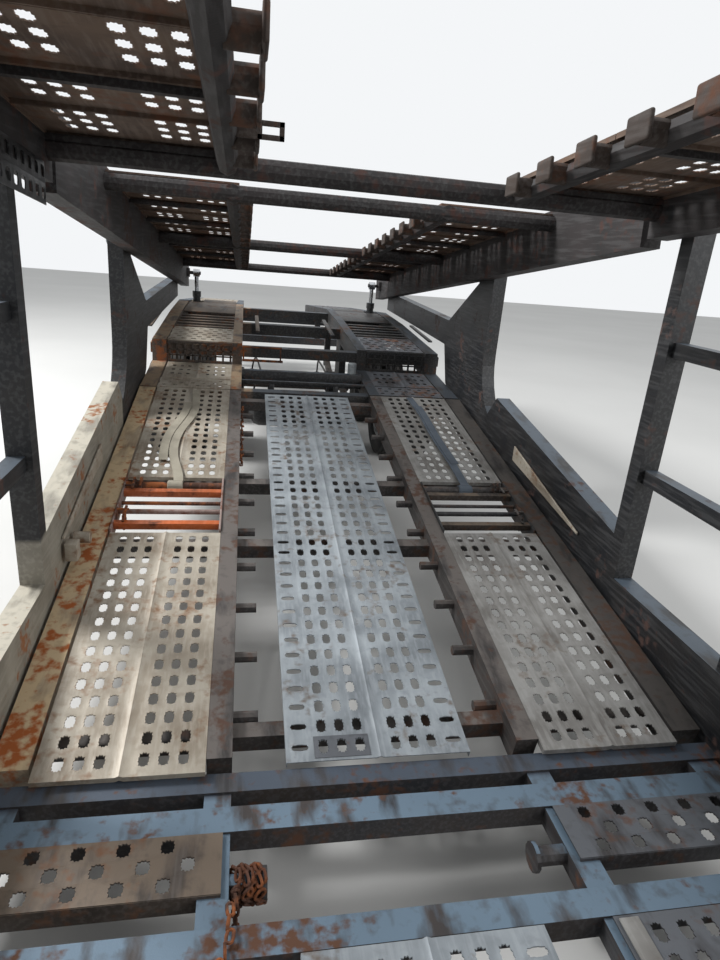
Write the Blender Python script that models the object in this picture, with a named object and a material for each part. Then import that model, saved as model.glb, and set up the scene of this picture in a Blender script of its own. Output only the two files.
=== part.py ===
"""Double-deck car transporter semitrailer, empty and parked on its landing legs.

Metres, +Z up. The nose with its king pin is at -Y and the tail at +Y. The origin lies on the ground, in the
middle of the trailer's length and width. The lower deck hangs low behind the neck, climbs over the two axles
and falls to the tail. Two decks of perforated runways hang above it between slotted side beams.
"""

import math

import bmesh
import bpy
from mathutils import Matrix, Vector

# Overall size
LENGTH = 14.60
WIDTH = 2.59
NOSE_Y = -LENGTH / 2
TAIL_Y = LENGTH / 2
GAP = 0.0003  # between pieces that touch
RUN = 0.010  # between a moving piece and a fixed one beside it

# Side frames
SIDE_X = WIDTH / 2
SIDE_WALL = 0.09
RAIL_BOTTOM = 0.20
RAIL_LOW_TOP = 0.54
RAIL_STEP = 0.29  # height of the rail's top over the climbing deck
RAIL_BELOW_DECK = 0.10
POST_WIDTH = 0.075

# Runways, measured from the middle line of the trailer
RUNWAY_MARGIN = 0.227  # between a runway and the trailer's side
RUNWAY_WIDTH = 0.508
RUNWAY_OUT = SIDE_X - RUNWAY_MARGIN
RUNWAY_IN = RUNWAY_OUT - RUNWAY_WIDTH
INNER_BEAM = 0.08
OUTER_BEAM = 0.11
BEAM_SPACE = 0.012
BEAM_DEEP = 0.11
PLATE = 0.012

# Lower deck, in distances ahead of the tail and heights over the ground
DECK_LOW = 0.30
RISE_START = TAIL_Y - 8.91
PANEL_LENGTH = 1.31  # of each near and far runway plate
WINCH_BAY = 0.5342  # between the near and far plates
RISE_ANGLE = math.radians(9.6)
RISE_RUN = (2 * PANEL_LENGTH + WINCH_BAY) * math.cos(RISE_ANGLE)
RISE_END = RISE_START + RISE_RUN
RISE_TOP = DECK_LOW + RISE_RUN * math.tan(RISE_ANGLE)
STEP_UP = TAIL_Y - 5.10  # the wheel arch starts with a step
STEP_WALL = 0.012
STEP_LOW_Z = 0.895
STEP_HIGH_Z = 1.065
CREST_START = TAIL_Y - 3.70
CREST_START_Z = 1.16
CREST_END = TAIL_Y - 2.80
CREST_Z = 1.19
TAIL_Z = 1.00

# Neck, in distances behind the nose
NECK_LENGTH = 2.55
NECK_FALL = 0.55
NECK_BOTTOM = 1.20
NECK_TOP = 1.42
NECK_CROSS_TOP = NECK_TOP - 0.002
NECK_END = NOSE_Y + NECK_LENGTH
BELLY_START = NECK_END + NECK_FALL

# Wheels
TYRE_R = 0.3985
TYRE_W = 0.235
RIM_R = 0.2215
RIM_W = 0.170
TWIN_STEP = 0.267
OUTER_TYRE_X = SIDE_X - TYRE_W / 2 - 0.003
INNER_TYRE_X = OUTER_TYRE_X - TWIN_STEP
AXLE_R = 0.063
SPINDLE_R = 0.042
SPINDLE_PLAY = 0.0008
ROUND = 18
AXLES = (("front", TAIL_Y - 4.55), ("rear", TAIL_Y - 3.30))  # name, place along the trailer

# Upper decks
DECK_BEAM_OUT = SIDE_X - SIDE_WALL - RUN
DECK_BEAM_W = 0.09
DECK_RUNWAY_IN = RUNWAY_IN - 0.03
DECK_TUBE_R = 0.036
CROSS_TUBE_R = 0.038
RIB_STEP = 0.68
RIB_WIDE = 0.025
RIB_DEEP = 0.020
PIVOT_R = 0.030
PIN_PLAY = 0.0009
PIN_SIDES = 20
FLOOR_DROP = 0.02  # of a runway under its side beam's top

FRONT_PIVOT = (TAIL_Y - 8.115, 2.07)  # y and z of the front deck's pins
FRONT_SLOPE = math.radians(-4.9)
REAR_PIVOT = (TAIL_Y - 6.02, 1.80)
REAR_SLOPE = math.radians(-6.6)

# Lifting cylinders of the rear deck
LIFT_AT = 3.25  # behind the rear deck's pins
LIFT_EYE_Z = 0.06
LIFT_X = SIDE_X - 0.295
LIFT_FOOT_Z = 0.82
LIFT_PIN_R = 0.018
BARREL_R = 0.040
BARREL_LENGTH = 0.46
ROD_R = 0.023
EYE_R = 0.042
EYE_HALF = 0.035
EYE_PLAY = 0.010

SIDES = (("left", -1), ("right", 1))

PAINTS = {  # name: colour, roughness, metallic
    "black_paint": ((0.025, 0.026, 0.03), 0.55, 0.0),
    "worn_steel": ((0.16, 0.13, 0.12), 0.75, 0.4),
    "tread_plate": ((0.55, 0.56, 0.56), 0.5, 0.6),
    "rusty_plate": ((0.22, 0.12, 0.08), 0.85, 0.2),
    "zinc": ((0.45, 0.47, 0.50), 0.4, 0.8),
    "chrome": ((0.75, 0.76, 0.78), 0.15, 1.0),
    "rubber": ((0.02, 0.02, 0.02), 0.9, 0.0),
    "webbing": ((0.45, 0.43, 0.38), 0.95, 0.0),
}


def clear_scene():
    for obj in list(bpy.data.objects):
        bpy.data.objects.remove(obj)


def paint(name):
    """The material of that name, made on its first use."""
    found = bpy.data.materials.get(name)
    if found:
        return found
    colour, rough, metal = PAINTS[name]
    made = bpy.data.materials.new(name)
    made.use_nodes = True
    shader = made.node_tree.nodes["Principled BSDF"]
    shader.inputs["Base Color"].default_value = (*colour, 1.0)
    shader.inputs["Roughness"].default_value = rough
    shader.inputs["Metallic"].default_value = metal
    return made


# Shapes, each a closed bmesh

def faced_out(shape):
    bmesh.ops.recalc_face_normals(shape, faces=shape.faces)
    return shape


def prism(outline, to_point, low, high):
    """Extrudes a flat outline from low to high along the axis that to_point leaves free."""
    shape = bmesh.new()
    base = shape.faces.new([shape.verts.new(to_point(a, b, low)) for a, b in outline])
    made = bmesh.ops.extrude_face_region(shape, geom=[base])
    shift = Vector(to_point(0, 0, high)) - Vector(to_point(0, 0, low))
    corners = [v for v in made["geom"] if isinstance(v, bmesh.types.BMVert)]
    bmesh.ops.translate(shape, verts=corners, vec=shift)
    return faced_out(shape)


def prism_x(outline, low, high):
    """An outline of (y, z) points, extruded along X."""
    return prism(outline, lambda y, z, x: (x, y, z), low, high)


def prism_y(outline, low, high):
    """An outline of (x, z) points, extruded along Y."""
    return prism(outline, lambda x, z, y: (x, y, z), low, high)


def prism_z(outline, low, high):
    """An outline of (x, y) points, extruded along Z."""
    return prism(outline, lambda x, y, z: (x, y, z), low, high)


def box(x, y, z):
    """A box from three (low, high) pairs."""
    return prism_z([(x[0], y[0]), (x[1], y[0]), (x[1], y[1]), (x[0], y[1])], z[0], z[1])


def rod(start, end, radius, sides=12):
    """A round bar between two points."""
    start, end = Vector(start), Vector(end)
    along = end - start
    shape = bmesh.new()
    place = Matrix.Translation((start + end) / 2) @ along.to_track_quat("Z", "Y").to_matrix().to_4x4()
    bmesh.ops.create_cone(
        shape, cap_ends=True, segments=sides, radius1=radius, radius2=radius, depth=along.length, matrix=place
    )
    return faced_out(shape)


def ring_about_x(outline, y, z, steps=ROUND):
    """Turns a closed outline of (x, radius) points about an axis along X."""
    shape = bmesh.new()
    base = shape.faces.new([shape.verts.new((x, y, z - r)) for x, r in outline])
    bmesh.ops.spin(
        shape,
        geom=[base, *base.verts, *base.edges],
        cent=(0, y, z),
        axis=(1, 0, 0),
        angle=2 * math.pi,
        steps=steps,
        use_merge=True,
    )
    bmesh.ops.remove_doubles(shape, verts=shape.verts, dist=1e-5)
    sections = [f for f in shape.faces if abs(f.normal.x) < 1e-6 and len(f.verts) > 4]
    bmesh.ops.delete(shape, geom=sections, context="FACES_ONLY")
    loose = [e for e in shape.edges if not e.link_faces]
    bmesh.ops.delete(shape, geom=loose, context="EDGES")
    return faced_out(shape)


def mirrored(shape, side):
    """The shape itself on the right side, side = 1, and its mirror image on the left."""
    if side < 0:
        bmesh.ops.transform(shape, matrix=Matrix.Scale(-1, 4, (1, 0, 0)), verts=shape.verts)
        faced_out(shape)
    return shape


def joined(shapes, name):
    """One object that holds all the shapes, still overlapping."""
    whole = bmesh.new()
    for shape in shapes:
        piece = bpy.data.meshes.new("piece")
        shape.to_mesh(piece)
        shape.free()
        whole.from_mesh(piece)
        bpy.data.meshes.remove(piece)
    mesh = bpy.data.meshes.new(name)
    whole.to_mesh(mesh)
    whole.free()
    obj = bpy.data.objects.new(name, mesh)
    bpy.context.scene.collection.objects.link(obj)
    return obj


def boolean(obj, operation, shapes):
    """Adds the shapes to the object or takes them away one by one, and keeps the result as its mesh."""
    tools = []
    for shape in shapes:
        tool = joined([shape], "tool")
        step = obj.modifiers.new("step", "BOOLEAN")
        step.operation = operation
        step.solver = "EXACT"
        step.object = tool
        tools.append(tool)
    graph = bpy.context.evaluated_depsgraph_get()
    made = bpy.data.meshes.new_from_object(obj.evaluated_get(graph))
    obj.modifiers.clear()
    old = obj.data
    obj.data = made
    bpy.data.meshes.remove(old)
    for tool in tools:
        bpy.data.objects.remove(tool)


def tidied(obj):
    """Takes out the edges that a union leaves on flat faces."""
    shape = bmesh.new()
    shape.from_mesh(obj.data)
    bmesh.ops.remove_doubles(shape, verts=shape.verts, dist=1e-5)
    bmesh.ops.dissolve_limit(
        shape, angle_limit=math.radians(0.3), verts=shape.verts, edges=shape.edges, delimit=set()
    )
    shape.to_mesh(obj.data)
    shape.free()


def solid(name, material, shapes, cuts=(), origin=(0, 0, 0), turn=0.0):
    """One named piece: the union of the shapes less the cuts.

    The shapes are given about the piece's own origin, which is put in its place and turned about X.
    """
    shapes = list(shapes)
    obj = joined(shapes[:1], name)
    if len(shapes) > 1:
        boolean(obj, "UNION", shapes[1:])
    cuts = list(cuts)
    if cuts:
        boolean(obj, "DIFFERENCE", cuts)
    tidied(obj)
    obj.location = origin
    obj.rotation_euler = (turn, 0, 0)
    obj.data.materials.clear()
    obj.data.materials.append(paint(material))
    obj.data.set_sharp_from_angle(angle=math.radians(35))
    return obj


# Lines that several pieces follow

DECK_LINE = (  # y, z of the lower deck's top from the low bay to the tail
    (RISE_START, DECK_LOW),
    (RISE_END, RISE_TOP),
    (STEP_UP - STEP_WALL, STEP_LOW_Z),
    (STEP_UP, STEP_HIGH_Z),
    (CREST_START, CREST_START_Z),
    (CREST_END, CREST_Z),
    (TAIL_Y, TAIL_Z),
)


def deck_z(y):
    """Height of the lower deck's top."""
    for (y0, z0), (y1, z1) in zip(DECK_LINE, DECK_LINE[1:]):
        if y <= y1:
            return z0 + (z1 - z0) * (y - y0) / (y1 - y0)
    return TAIL_Z


def deck_stretch(start, end, top=0.0, bottom=-PLATE):
    """(y, z) outline of a strip that follows the deck between two places."""
    stops = [start] + [y for y, _ in DECK_LINE if start < y < end] + [end]
    upper = [(y, deck_z(y) + top) for y in stops]
    lower = [(y, deck_z(y) + bottom) for y in reversed(stops)]
    return upper + lower


def arc(centre, radius, start, end, steps):
    """Points of an arc between two angles in degrees."""
    angles = [math.radians(start + (end - start) * i / steps) for i in range(steps + 1)]
    return [(centre[0] + radius * math.cos(a), centre[1] + radius * math.sin(a)) for a in angles]


RISE_PLACE = (0, RISE_START, DECK_LOW)
RISE_LENGTH = RISE_RUN / math.cos(RISE_ANGLE)
SIDE_IN = SIDE_X - SIDE_WALL
INNER_EDGE = RUNWAY_IN - INNER_BEAM
OUTER_BEAM_IN = RUNWAY_OUT + BEAM_SPACE
OUTER_EDGE = OUTER_BEAM_IN + OUTER_BEAM

# Side frames: the rail, the neck's side, the posts and the great gusset, in one welded wall each

POST_1 = FRONT_PIVOT[0]
POST_2_FOOT = TAIL_Y - 6.50
POST_2_FRONT = TAIL_Y - 6.15
POST_2_BACK = TAIL_Y - 5.88
POST_0 = NOSE_Y + 1.75
POST_0_TOP = 2.74
PLATE_START = TAIL_Y - 5.25
PLATE_TOP = 1.37
PLATE_END_TOP = 1.43
PLATE_DEEP = 0.20
ARCH_START = TAIL_Y - 5.35
GUSSET_R = 0.42
HEADROOM = 0.06  # of a post over the pin that it carries
LADDER_RUNGS = (1.06, 1.60)  # heights of the rungs' tops
LADDER_LENGTH = 0.72  # from the post to the far face of the ladder's upright
LADDER_BAR = 0.06


def side_frame(name, side):
    foot_z = deck_z(POST_2_FOOT) + RAIL_STEP
    post_1_back = POST_1 + POST_WIDTH / 2
    post_1_front = POST_1 - POST_WIDTH / 2
    step_z = deck_z(post_1_back) + RAIL_STEP
    post_1_top = FRONT_PIVOT[1] + HEADROOM
    post_2_top = REAR_PIVOT[1] + HEADROOM
    sweep = arc((POST_2_FRONT - GUSSET_R, foot_z + GUSSET_R * 0.55), GUSSET_R, -62, 0, 6)
    outline = [
        (NOSE_Y, NECK_BOTTOM + 0.10),
        (NOSE_Y + 0.30, NECK_BOTTOM),
        (NECK_END, NECK_BOTTOM),
        (BELLY_START - 0.12, RAIL_BOTTOM),
        (RISE_START, RAIL_BOTTOM),
        (RISE_END, deck_z(RISE_END) - RAIL_BELOW_DECK - BEAM_DEEP),
        (ARCH_START, deck_z(ARCH_START)),
        (PLATE_START + 0.05, PLATE_TOP - PLATE_DEEP),
        (CREST_END, PLATE_END_TOP - PLATE_DEEP),
        (CREST_END, PLATE_END_TOP),
        (PLATE_START, PLATE_TOP),
        (POST_2_BACK + 0.02, post_2_top - 0.16),
        (POST_2_BACK, post_2_top),
        (POST_2_FRONT, post_2_top),
        *reversed(sweep),
        (POST_2_FOOT, foot_z),
        (post_1_back, step_z),
        (post_1_back, post_1_top),
        (post_1_front, post_1_top),
        (post_1_front, RAIL_LOW_TOP),
        (BELLY_START, RAIL_LOW_TOP),
        (NECK_END + 0.12, NECK_TOP),
        (POST_0 + POST_WIDTH / 2, NECK_TOP),
        (POST_0 + POST_WIDTH / 2, POST_0_TOP),
        (POST_0 - POST_WIDTH / 2, POST_0_TOP),
        (POST_0 - POST_WIDTH / 2, NECK_TOP),
        (NOSE_Y, NECK_TOP),
    ]
    wall = prism_x(outline, SIDE_IN, SIDE_X)
    pins = [
        rod((SIDE_IN + 0.03, y, z), (SIDE_IN - RUN - DECK_BEAM_W, y, z), PIVOT_R, PIN_SIDES)
        for y, z in (FRONT_PIVOT, REAR_PIVOT)
    ]
    bar_x = (SIDE_X - LADDER_BAR - 0.005, SIDE_X - 0.005)
    end = post_1_front - LADDER_LENGTH
    ladder = [box(bar_x, (end, post_1_front + 0.02), (z - LADDER_BAR, z)) for z in LADDER_RUNGS]
    upright_x = (bar_x[0] - 0.004, bar_x[1] + 0.004)
    upright_z = (RAIL_LOW_TOP - 0.02, LADDER_RUNGS[-1] + 0.02)
    ladder.append(box(upright_x, (end - 0.004, end + LADDER_BAR), upright_z))
    return solid(name, "black_paint", [mirrored(s, side) for s in (wall, *pins, *ladder)])


# Belly bay, ahead of the climbing deck: cross beams and short longitudinals

CROSS_BEAMS = (  # distance ahead of RISE_START of the front and back faces
    (0.050, -0.025),
    (0.193, 0.105),
    (0.545, 0.465),
    (1.500, 1.430),
    (RISE_START - BELLY_START - 0.14, RISE_START - BELLY_START - 0.21),
)
CROSS_TOP = DECK_LOW - 0.03
CROSS_DEEP = 0.075
FLOOR_SEAT = CROSS_TOP - 0.008
STEP_DEEP = 0.38  # of the punched steps' front edges ahead of the climbing deck
SPOOL_DROP = 0.038  # of the chain spools under the cross beams' tops
SPOOL_LENGTH = 0.10
SPOOL_R = 0.028


def belly_frame():
    shapes = []
    front = RISE_START - CROSS_BEAMS[-1][0]
    for ahead, back in CROSS_BEAMS:
        under_floor = ahead > CROSS_BEAMS[2][0]
        top = FLOOR_SEAT - 0.0004 if under_floor else CROSS_TOP
        y = (RISE_START - ahead, RISE_START - back)
        shapes.append(box((-SIDE_IN + GAP, SIDE_IN - GAP), y, (CROSS_TOP - CROSS_DEEP, top)))
    for _, side in SIDES:
        for x0, x1 in ((INNER_EDGE, RUNWAY_IN), (OUTER_BEAM_IN, OUTER_EDGE)):
            depth = (CROSS_TOP - CROSS_DEEP + 0.004, FLOOR_SEAT)
            beam = box((x0, x1), (front + 0.01, RISE_START - 0.01), depth)
            shapes.append(mirrored(beam, side))
        y = RISE_START - (CROSS_BEAMS[1][0] + CROSS_BEAMS[2][1]) / 2
        z = CROSS_TOP - SPOOL_DROP
        end = INNER_EDGE - SPOOL_LENGTH
        shapes.append(mirrored(rod((INNER_EDGE + 0.03, y, z), (end, y, z), SPOOL_R, 10), side))
        shapes.append(mirrored(rod((end + 0.012, y, z), (end, y, z), SPOOL_R * 1.5, 12), side))
    return solid("belly_frame", "worn_steel", shapes)


# Climbing deck: built flat about its low edge and turned to the slope

SLOT = 0.040
SLOT_MARGIN = 0.030  # of the rows of slots from a plate's ends
RUNWAY_SLOT = (0.047, 0.203)  # from a plate's middle line
CENTRE_SLOT = (0.045, 0.265)
FOLD = 0.028  # depth of a plate's folded edges
MID_CROSS_DROP = 0.045  # of the slope's cross members under the deck
STUB_R = 0.020
STUB_Z = -0.052
STUB_LENGTH = 0.085
STUB_STEP = 0.285


def mid_frame():
    start = 0.05
    end = RISE_LENGTH
    shapes = []
    reach = SIDE_IN - GAP
    for at in (0.16, PANEL_LENGTH - 0.05, RISE_LENGTH - PANEL_LENGTH + 0.02, RISE_LENGTH - 0.10):
        shapes.append(box((-reach, reach), (at, at + 0.06), (-BEAM_DEEP - 0.005, -MID_CROSS_DROP)))
    for _, side in SIDES:
        for x0, x1 in ((INNER_EDGE, RUNWAY_IN - GAP), (OUTER_BEAM_IN, OUTER_EDGE)):
            shapes.append(mirrored(box((x0, x1), (start, end), (-BEAM_DEEP, 0)), side))
        count = int((end - 0.3) / STUB_STEP)
        for i in range(count):
            at = 0.25 + i * STUB_STEP
            stub = rod((INNER_EDGE + 0.03, at, STUB_Z), (INNER_EDGE - STUB_LENGTH, at, STUB_Z), STUB_R, 8)
            shapes.append(mirrored(stub, side))
    return solid("mid_frame", "worn_steel", shapes, origin=RISE_PLACE, turn=RISE_ANGLE)


def slot_rows(x, y, spans, rows):
    """Cuts for rows of slots, each as wide as one row's holes on one half of a plate."""
    middle = (x[0] + x[1]) / 2
    pitch = (y[1] - y[0] - 2 * SLOT_MARGIN) / rows
    cuts = []
    for i in range(rows):
        at = y[0] + SLOT_MARGIN + (i + 0.5) * pitch
        for near, far in spans:
            for sign in (-1, 1):
                slot_x = sorted((middle + sign * near, middle + sign * far))
                cuts.append(box(slot_x, (at - SLOT / 2, at + SLOT / 2), (-0.1, 0.1)))
    return cuts


def flat_panel(name, x, y, spans, rows, top=0.0):
    """A punched plate of the climbing deck with its edges folded down."""
    outline = [
        (x[0], top),
        (x[1], top),
        (x[1], top - FOLD),
        (x[1] - PLATE, top - FOLD),
        (x[1] - PLATE, top - PLATE),
        (x[0] + PLATE, top - PLATE),
        (x[0] + PLATE, top - FOLD),
        (x[0], top - FOLD),
    ]
    plate = prism_y(outline, y[0], y[1])
    cuts = slot_rows(x, y, spans, rows)
    return solid(name, "tread_plate", [plate], cuts, origin=RISE_PLACE, turn=RISE_ANGLE)


CENTRE_HALF = INNER_EDGE - 0.171
CENTRE_LENGTH = 3.14


def lower_panels():
    for name, side in SIDES:
        x = sorted((side * (RUNWAY_IN + GAP), side * RUNWAY_OUT))
        flat_panel(f"runway_near_{name}", x, (0.004, PANEL_LENGTH), [RUNWAY_SLOT], 16)
        far = (RISE_LENGTH - PANEL_LENGTH, RISE_LENGTH)
        flat_panel(f"runway_far_{name}", x, far, [RUNWAY_SLOT], 16)
    x = (-CENTRE_HALF, CENTRE_HALF)
    top = FOLD + GAP - MID_CROSS_DROP
    flat_panel("centre_panel", x, (0.030, CENTRE_LENGTH), [CENTRE_SLOT], 36, top)


def bay_panels():
    """The plates of the low bay, which rest on its beams, and those of the neck."""
    floor = (FLOOR_SEAT + GAP, FLOOR_SEAT + GAP + PLATE)
    front = RISE_START - CROSS_BEAMS[4][0] + 0.02
    middle = RISE_START - CROSS_BEAMS[2][0] - 0.005
    step = (RISE_START - STEP_DEEP, RISE_START - CROSS_BEAMS[1][0] - 0.003)
    neck_top = NECK_CROSS_TOP + GAP + PLATE
    for name, side in SIDES:
        plates = (
            ("front_step", (INNER_EDGE + 0.02, SIDE_IN - 0.01), step, floor),
            ("bay_floor", (INNER_EDGE + 0.02, OUTER_EDGE - 0.02), (front, middle), floor),
            (
                "neck_floor",
                (RUNWAY_IN, SIDE_IN - 0.01),
                (NOSE_Y + 0.10, NECK_END - 0.05),
                (neck_top - PLATE, neck_top),
            ),
        )
        for plate, x, y, z in plates:
            solid(f"{plate}_{name}", "tread_plate", [mirrored(box(x, y, z), side)])
    solid("bay_centre", "tread_plate", [box((-CENTRE_HALF, CENTRE_HALF), (front, middle), floor)])


# Strap winches in the bay between the near and far runway plates

def strap_winch(name, side):
    low = PANEL_LENGTH + 0.015
    high = RISE_LENGTH - PANEL_LENGTH - 0.015
    inner = RUNWAY_IN
    outer = RUNWAY_OUT + 0.008
    cheeks = [
        box((x, x + 0.012), (low, high), (-0.055, 0.012)) for x in (inner, outer - 0.012)
    ]
    rods = (  # place along the bay, height, radius
        (low + 0.06, -0.020, 0.016),
        (low + 0.26, -0.022, 0.014),
        (high - 0.06, -0.015, 0.035),
    )
    bars = [rod((inner + 0.004, at, z), (outer - 0.004, at, z), r, 10) for at, z, r in rods]
    strip = box((inner + 0.005, outer - 0.005), (low + 0.10, low + 0.14), (-0.05, -0.005))
    ratchet = rod((outer - 0.06, high - 0.06, -0.015), (outer - 0.03, high - 0.06, -0.015), 0.05, 10)
    shapes = [mirrored(s, side) for s in (*cheeks, *bars, strip, ratchet)]
    return solid(name, "rusty_plate", shapes, origin=RISE_PLACE, turn=RISE_ANGLE)


STRAP_IN = 0.24
STRAP_WIDTH = 0.05


def strap(name, side):
    """Webbing laid along the far runway plate."""
    x = sorted((side * (RUNWAY_IN + STRAP_IN), side * (RUNWAY_IN + STRAP_IN + STRAP_WIDTH)))
    length = (RISE_LENGTH - PANEL_LENGTH + 0.01, RISE_LENGTH - 0.03)
    return solid(name, "webbing", [box(x, length, (GAP, 0.005))], origin=RISE_PLACE, turn=RISE_ANGLE)


# Rear frame over the axles, with its runways

REAR_BEAMS_START = RISE_END + BEAM_DEEP * math.sin(RISE_ANGLE) + 0.003
REAR_BEAMS_END = TAIL_Y - 0.10
SPRING_X = (INNER_EDGE + 0.005, RUNWAY_IN - 0.01)
SPRING_HALF = 0.48
HANGER = 0.08
HANGER_BOTTOM = 0.53
UNDER_LINE = (  # y, z of the undersides of the long beams
    (REAR_BEAMS_START, 0.665),
    (STEP_UP, 0.80),
    (AXLES[0][1], 0.93),
    (CREST_START, 1.00),
    (CREST_END, 1.01),
    (TAIL_Y, TAIL_Z - 0.17),
)
REAR_FRAME_CROSS = (  # distance ahead of the tail, with the depth under the deck of its top and bottom
    (TAIL_Y - REAR_BEAMS_START - 0.059, 0.02, 0.11),
    (5.05, 0.03, 0.11),
    (4.00, 0.03, 0.13),
    (2.95, 0.03, 0.13),
    (2.25, 0.10, 0.16),
    (1.25, 0.10, 0.16),
    (0.30, 0.10, 0.16),
)
GUARD_Z = 0.42  # underside of the under-run guard
RAMP_DEEP = 0.055
RAMP_TOP = 0.10 - RAMP_DEEP - 0.0008  # under the deck, so that the ramps lie on the cross members


def hanger_places():
    """Front and back faces of each side's three spring hangers: the middle one serves both axles."""
    first, last = AXLES[0][1], AXLES[1][1]
    return (
        (first - SPRING_HALF - HANGER, first - SPRING_HALF),
        (first + SPRING_HALF, last - SPRING_HALF),
        (last + SPRING_HALF, last + SPRING_HALF + HANGER),
    )


def under_z(y):
    """Height of the long beams' undersides."""
    for (y0, z0), (y1, z1) in zip(UNDER_LINE, UNDER_LINE[1:]):
        if y <= y1:
            return z0 + (z1 - z0) * (y - y0) / (y1 - y0)
    return UNDER_LINE[-1][1]


def long_beam(shorter):
    """(y, z) outline of a beam over the axles, its top the deck's and its underside the frame's."""
    ends = (REAR_BEAMS_START, REAR_BEAMS_END)
    count = len(deck_stretch(*ends)) // 2
    stops = [REAR_BEAMS_START, *(y for y, _ in UNDER_LINE[1:-1]), REAR_BEAMS_END]
    under = [(y, under_z(y) + shorter) for y in reversed(stops)]
    return deck_stretch(*ends)[:count] + under


def rear_frame():
    shapes = []
    for ahead, top, bottom in REAR_FRAME_CROSS:
        y = TAIL_Y - ahead
        half = SIDE_IN - GAP if y < CREST_END else OUTER_EDGE - 0.005
        shapes.append(prism_x(deck_stretch(y - 0.04, y + 0.04, -top, -bottom), -half, half))
    for _, side in SIDES:
        for x0, x1, shorter in ((INNER_EDGE, RUNWAY_IN - GAP, 0), (OUTER_BEAM_IN, OUTER_EDGE, 0.02)):
            shapes.append(mirrored(prism_x(long_beam(shorter), x0, x1), side))
        for y0, y1 in hanger_places():
            hanger = box(SPRING_X, (y0, y1), (HANGER_BOTTOM, under_z(y0) + 0.05))
            shapes.append(mirrored(hanger, side))
        foot_y = lift_head()[0]
        plate_x = (LIFT_X + BARREL_R + 0.014, OUTER_BEAM_IN + 0.03)
        height = (LIFT_FOOT_Z - 0.06, deck_z(foot_y) - 0.03)
        bracket = box(plate_x, (foot_y - 0.07, foot_y + 0.07), height)
        pin_x = (plate_x[0] + 0.01, LIFT_X - EYE_HALF - 0.01)
        pin = rod((pin_x[0], foot_y, LIFT_FOOT_Z), (pin_x[1], foot_y, LIFT_FOOT_Z), LIFT_PIN_R, PIN_SIDES)
        shapes += [mirrored(bracket, side), mirrored(pin, side)]
        guard_x = (RUNWAY_IN + 0.06, RUNWAY_IN + 0.14)
        guard = box(guard_x, (TAIL_Y - 0.34, TAIL_Y - 0.26), (GUARD_Z, TAIL_Z - 0.11))
        shapes.append(mirrored(guard, side))
    reach = SIDE_IN - 0.105
    shapes.append(box((-reach, reach), (TAIL_Y - 0.36, TAIL_Y - 0.24), (GUARD_Z, GUARD_Z + 0.10)))
    return solid("rear_frame", "black_paint", shapes)


def rear_runway(name, side):
    x = sorted((side * (RUNWAY_IN + GAP), side * RUNWAY_OUT))
    low = deck_stretch(REAR_BEAMS_START, STEP_UP - STEP_WALL)
    high = deck_stretch(STEP_UP, REAR_BEAMS_END)
    riser = box(x, (STEP_UP - STEP_WALL, STEP_UP), (STEP_LOW_Z - PLATE, STEP_HIGH_Z))
    shapes = [prism_x(low, *x), riser, prism_x(high, *x)]
    lift_y = lift_head()[0]
    well = box((LIFT_X - BARREL_R - 0.03, OUTER_BEAM_IN), (lift_y - 0.12, lift_y + 0.12), (0.9, 1.5))
    return solid(name, "tread_plate", shapes, [mirrored(well, side)])


def tail_bar():
    """The cross bar that closes the tail and carries the lamps."""
    y = (REAR_BEAMS_END + GAP, TAIL_Y)
    shapes = [box((-SIDE_X, SIDE_X), y, (TAIL_Z - 0.30, TAIL_Z - 0.175))]
    for _, side in SIDES:
        for x in ((INNER_EDGE, RUNWAY_IN), (OUTER_BEAM_IN, OUTER_EDGE)):
            shapes.append(mirrored(box(x, y, (TAIL_Z - 0.20, TAIL_Z - 0.005)), side))
    return solid("tail_bar", "black_paint", shapes)


RAMP_LENGTH = 2.20
RAMP_X = (RUNWAY_IN + 0.04, RUNWAY_OUT - 0.038)
TAIL_SLOPE = math.atan2(TAIL_Z - CREST_Z, TAIL_Y - CREST_END)


def loading_ramp(name, side):
    """A ramp that slides in its pocket under the tail runway: two edge bars and rungs."""
    edge = 0.05
    start = -RAMP_LENGTH
    depth = (-RAMP_TOP - RAMP_DEEP, -RAMP_TOP)
    shapes = [box((x, x + edge), (start, 0), depth) for x in (RAMP_X[0], RAMP_X[1] - edge)]
    count = 9
    x = (RAMP_X[0] + 0.01, RAMP_X[1] - 0.01)
    for i in range(count):
        at = start + 0.02 + i * (RAMP_LENGTH - 0.08) / (count - 1)
        shapes.append(box(x, (at, at + 0.04), (-RAMP_TOP - 0.045, -RAMP_TOP - 0.008)))
    shapes = [mirrored(s, side) for s in shapes]
    y = TAIL_Y - 0.02
    return solid(name, "zinc", shapes, origin=(0, y, deck_z(y)), turn=TAIL_SLOPE)


# Neck

COUPLER_HALF = SIDE_IN - 0.455
NECK_BEAM_X = COUPLER_HALF - 0.33
KING_PIN_BACK = 0.90  # behind the nose


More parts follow.
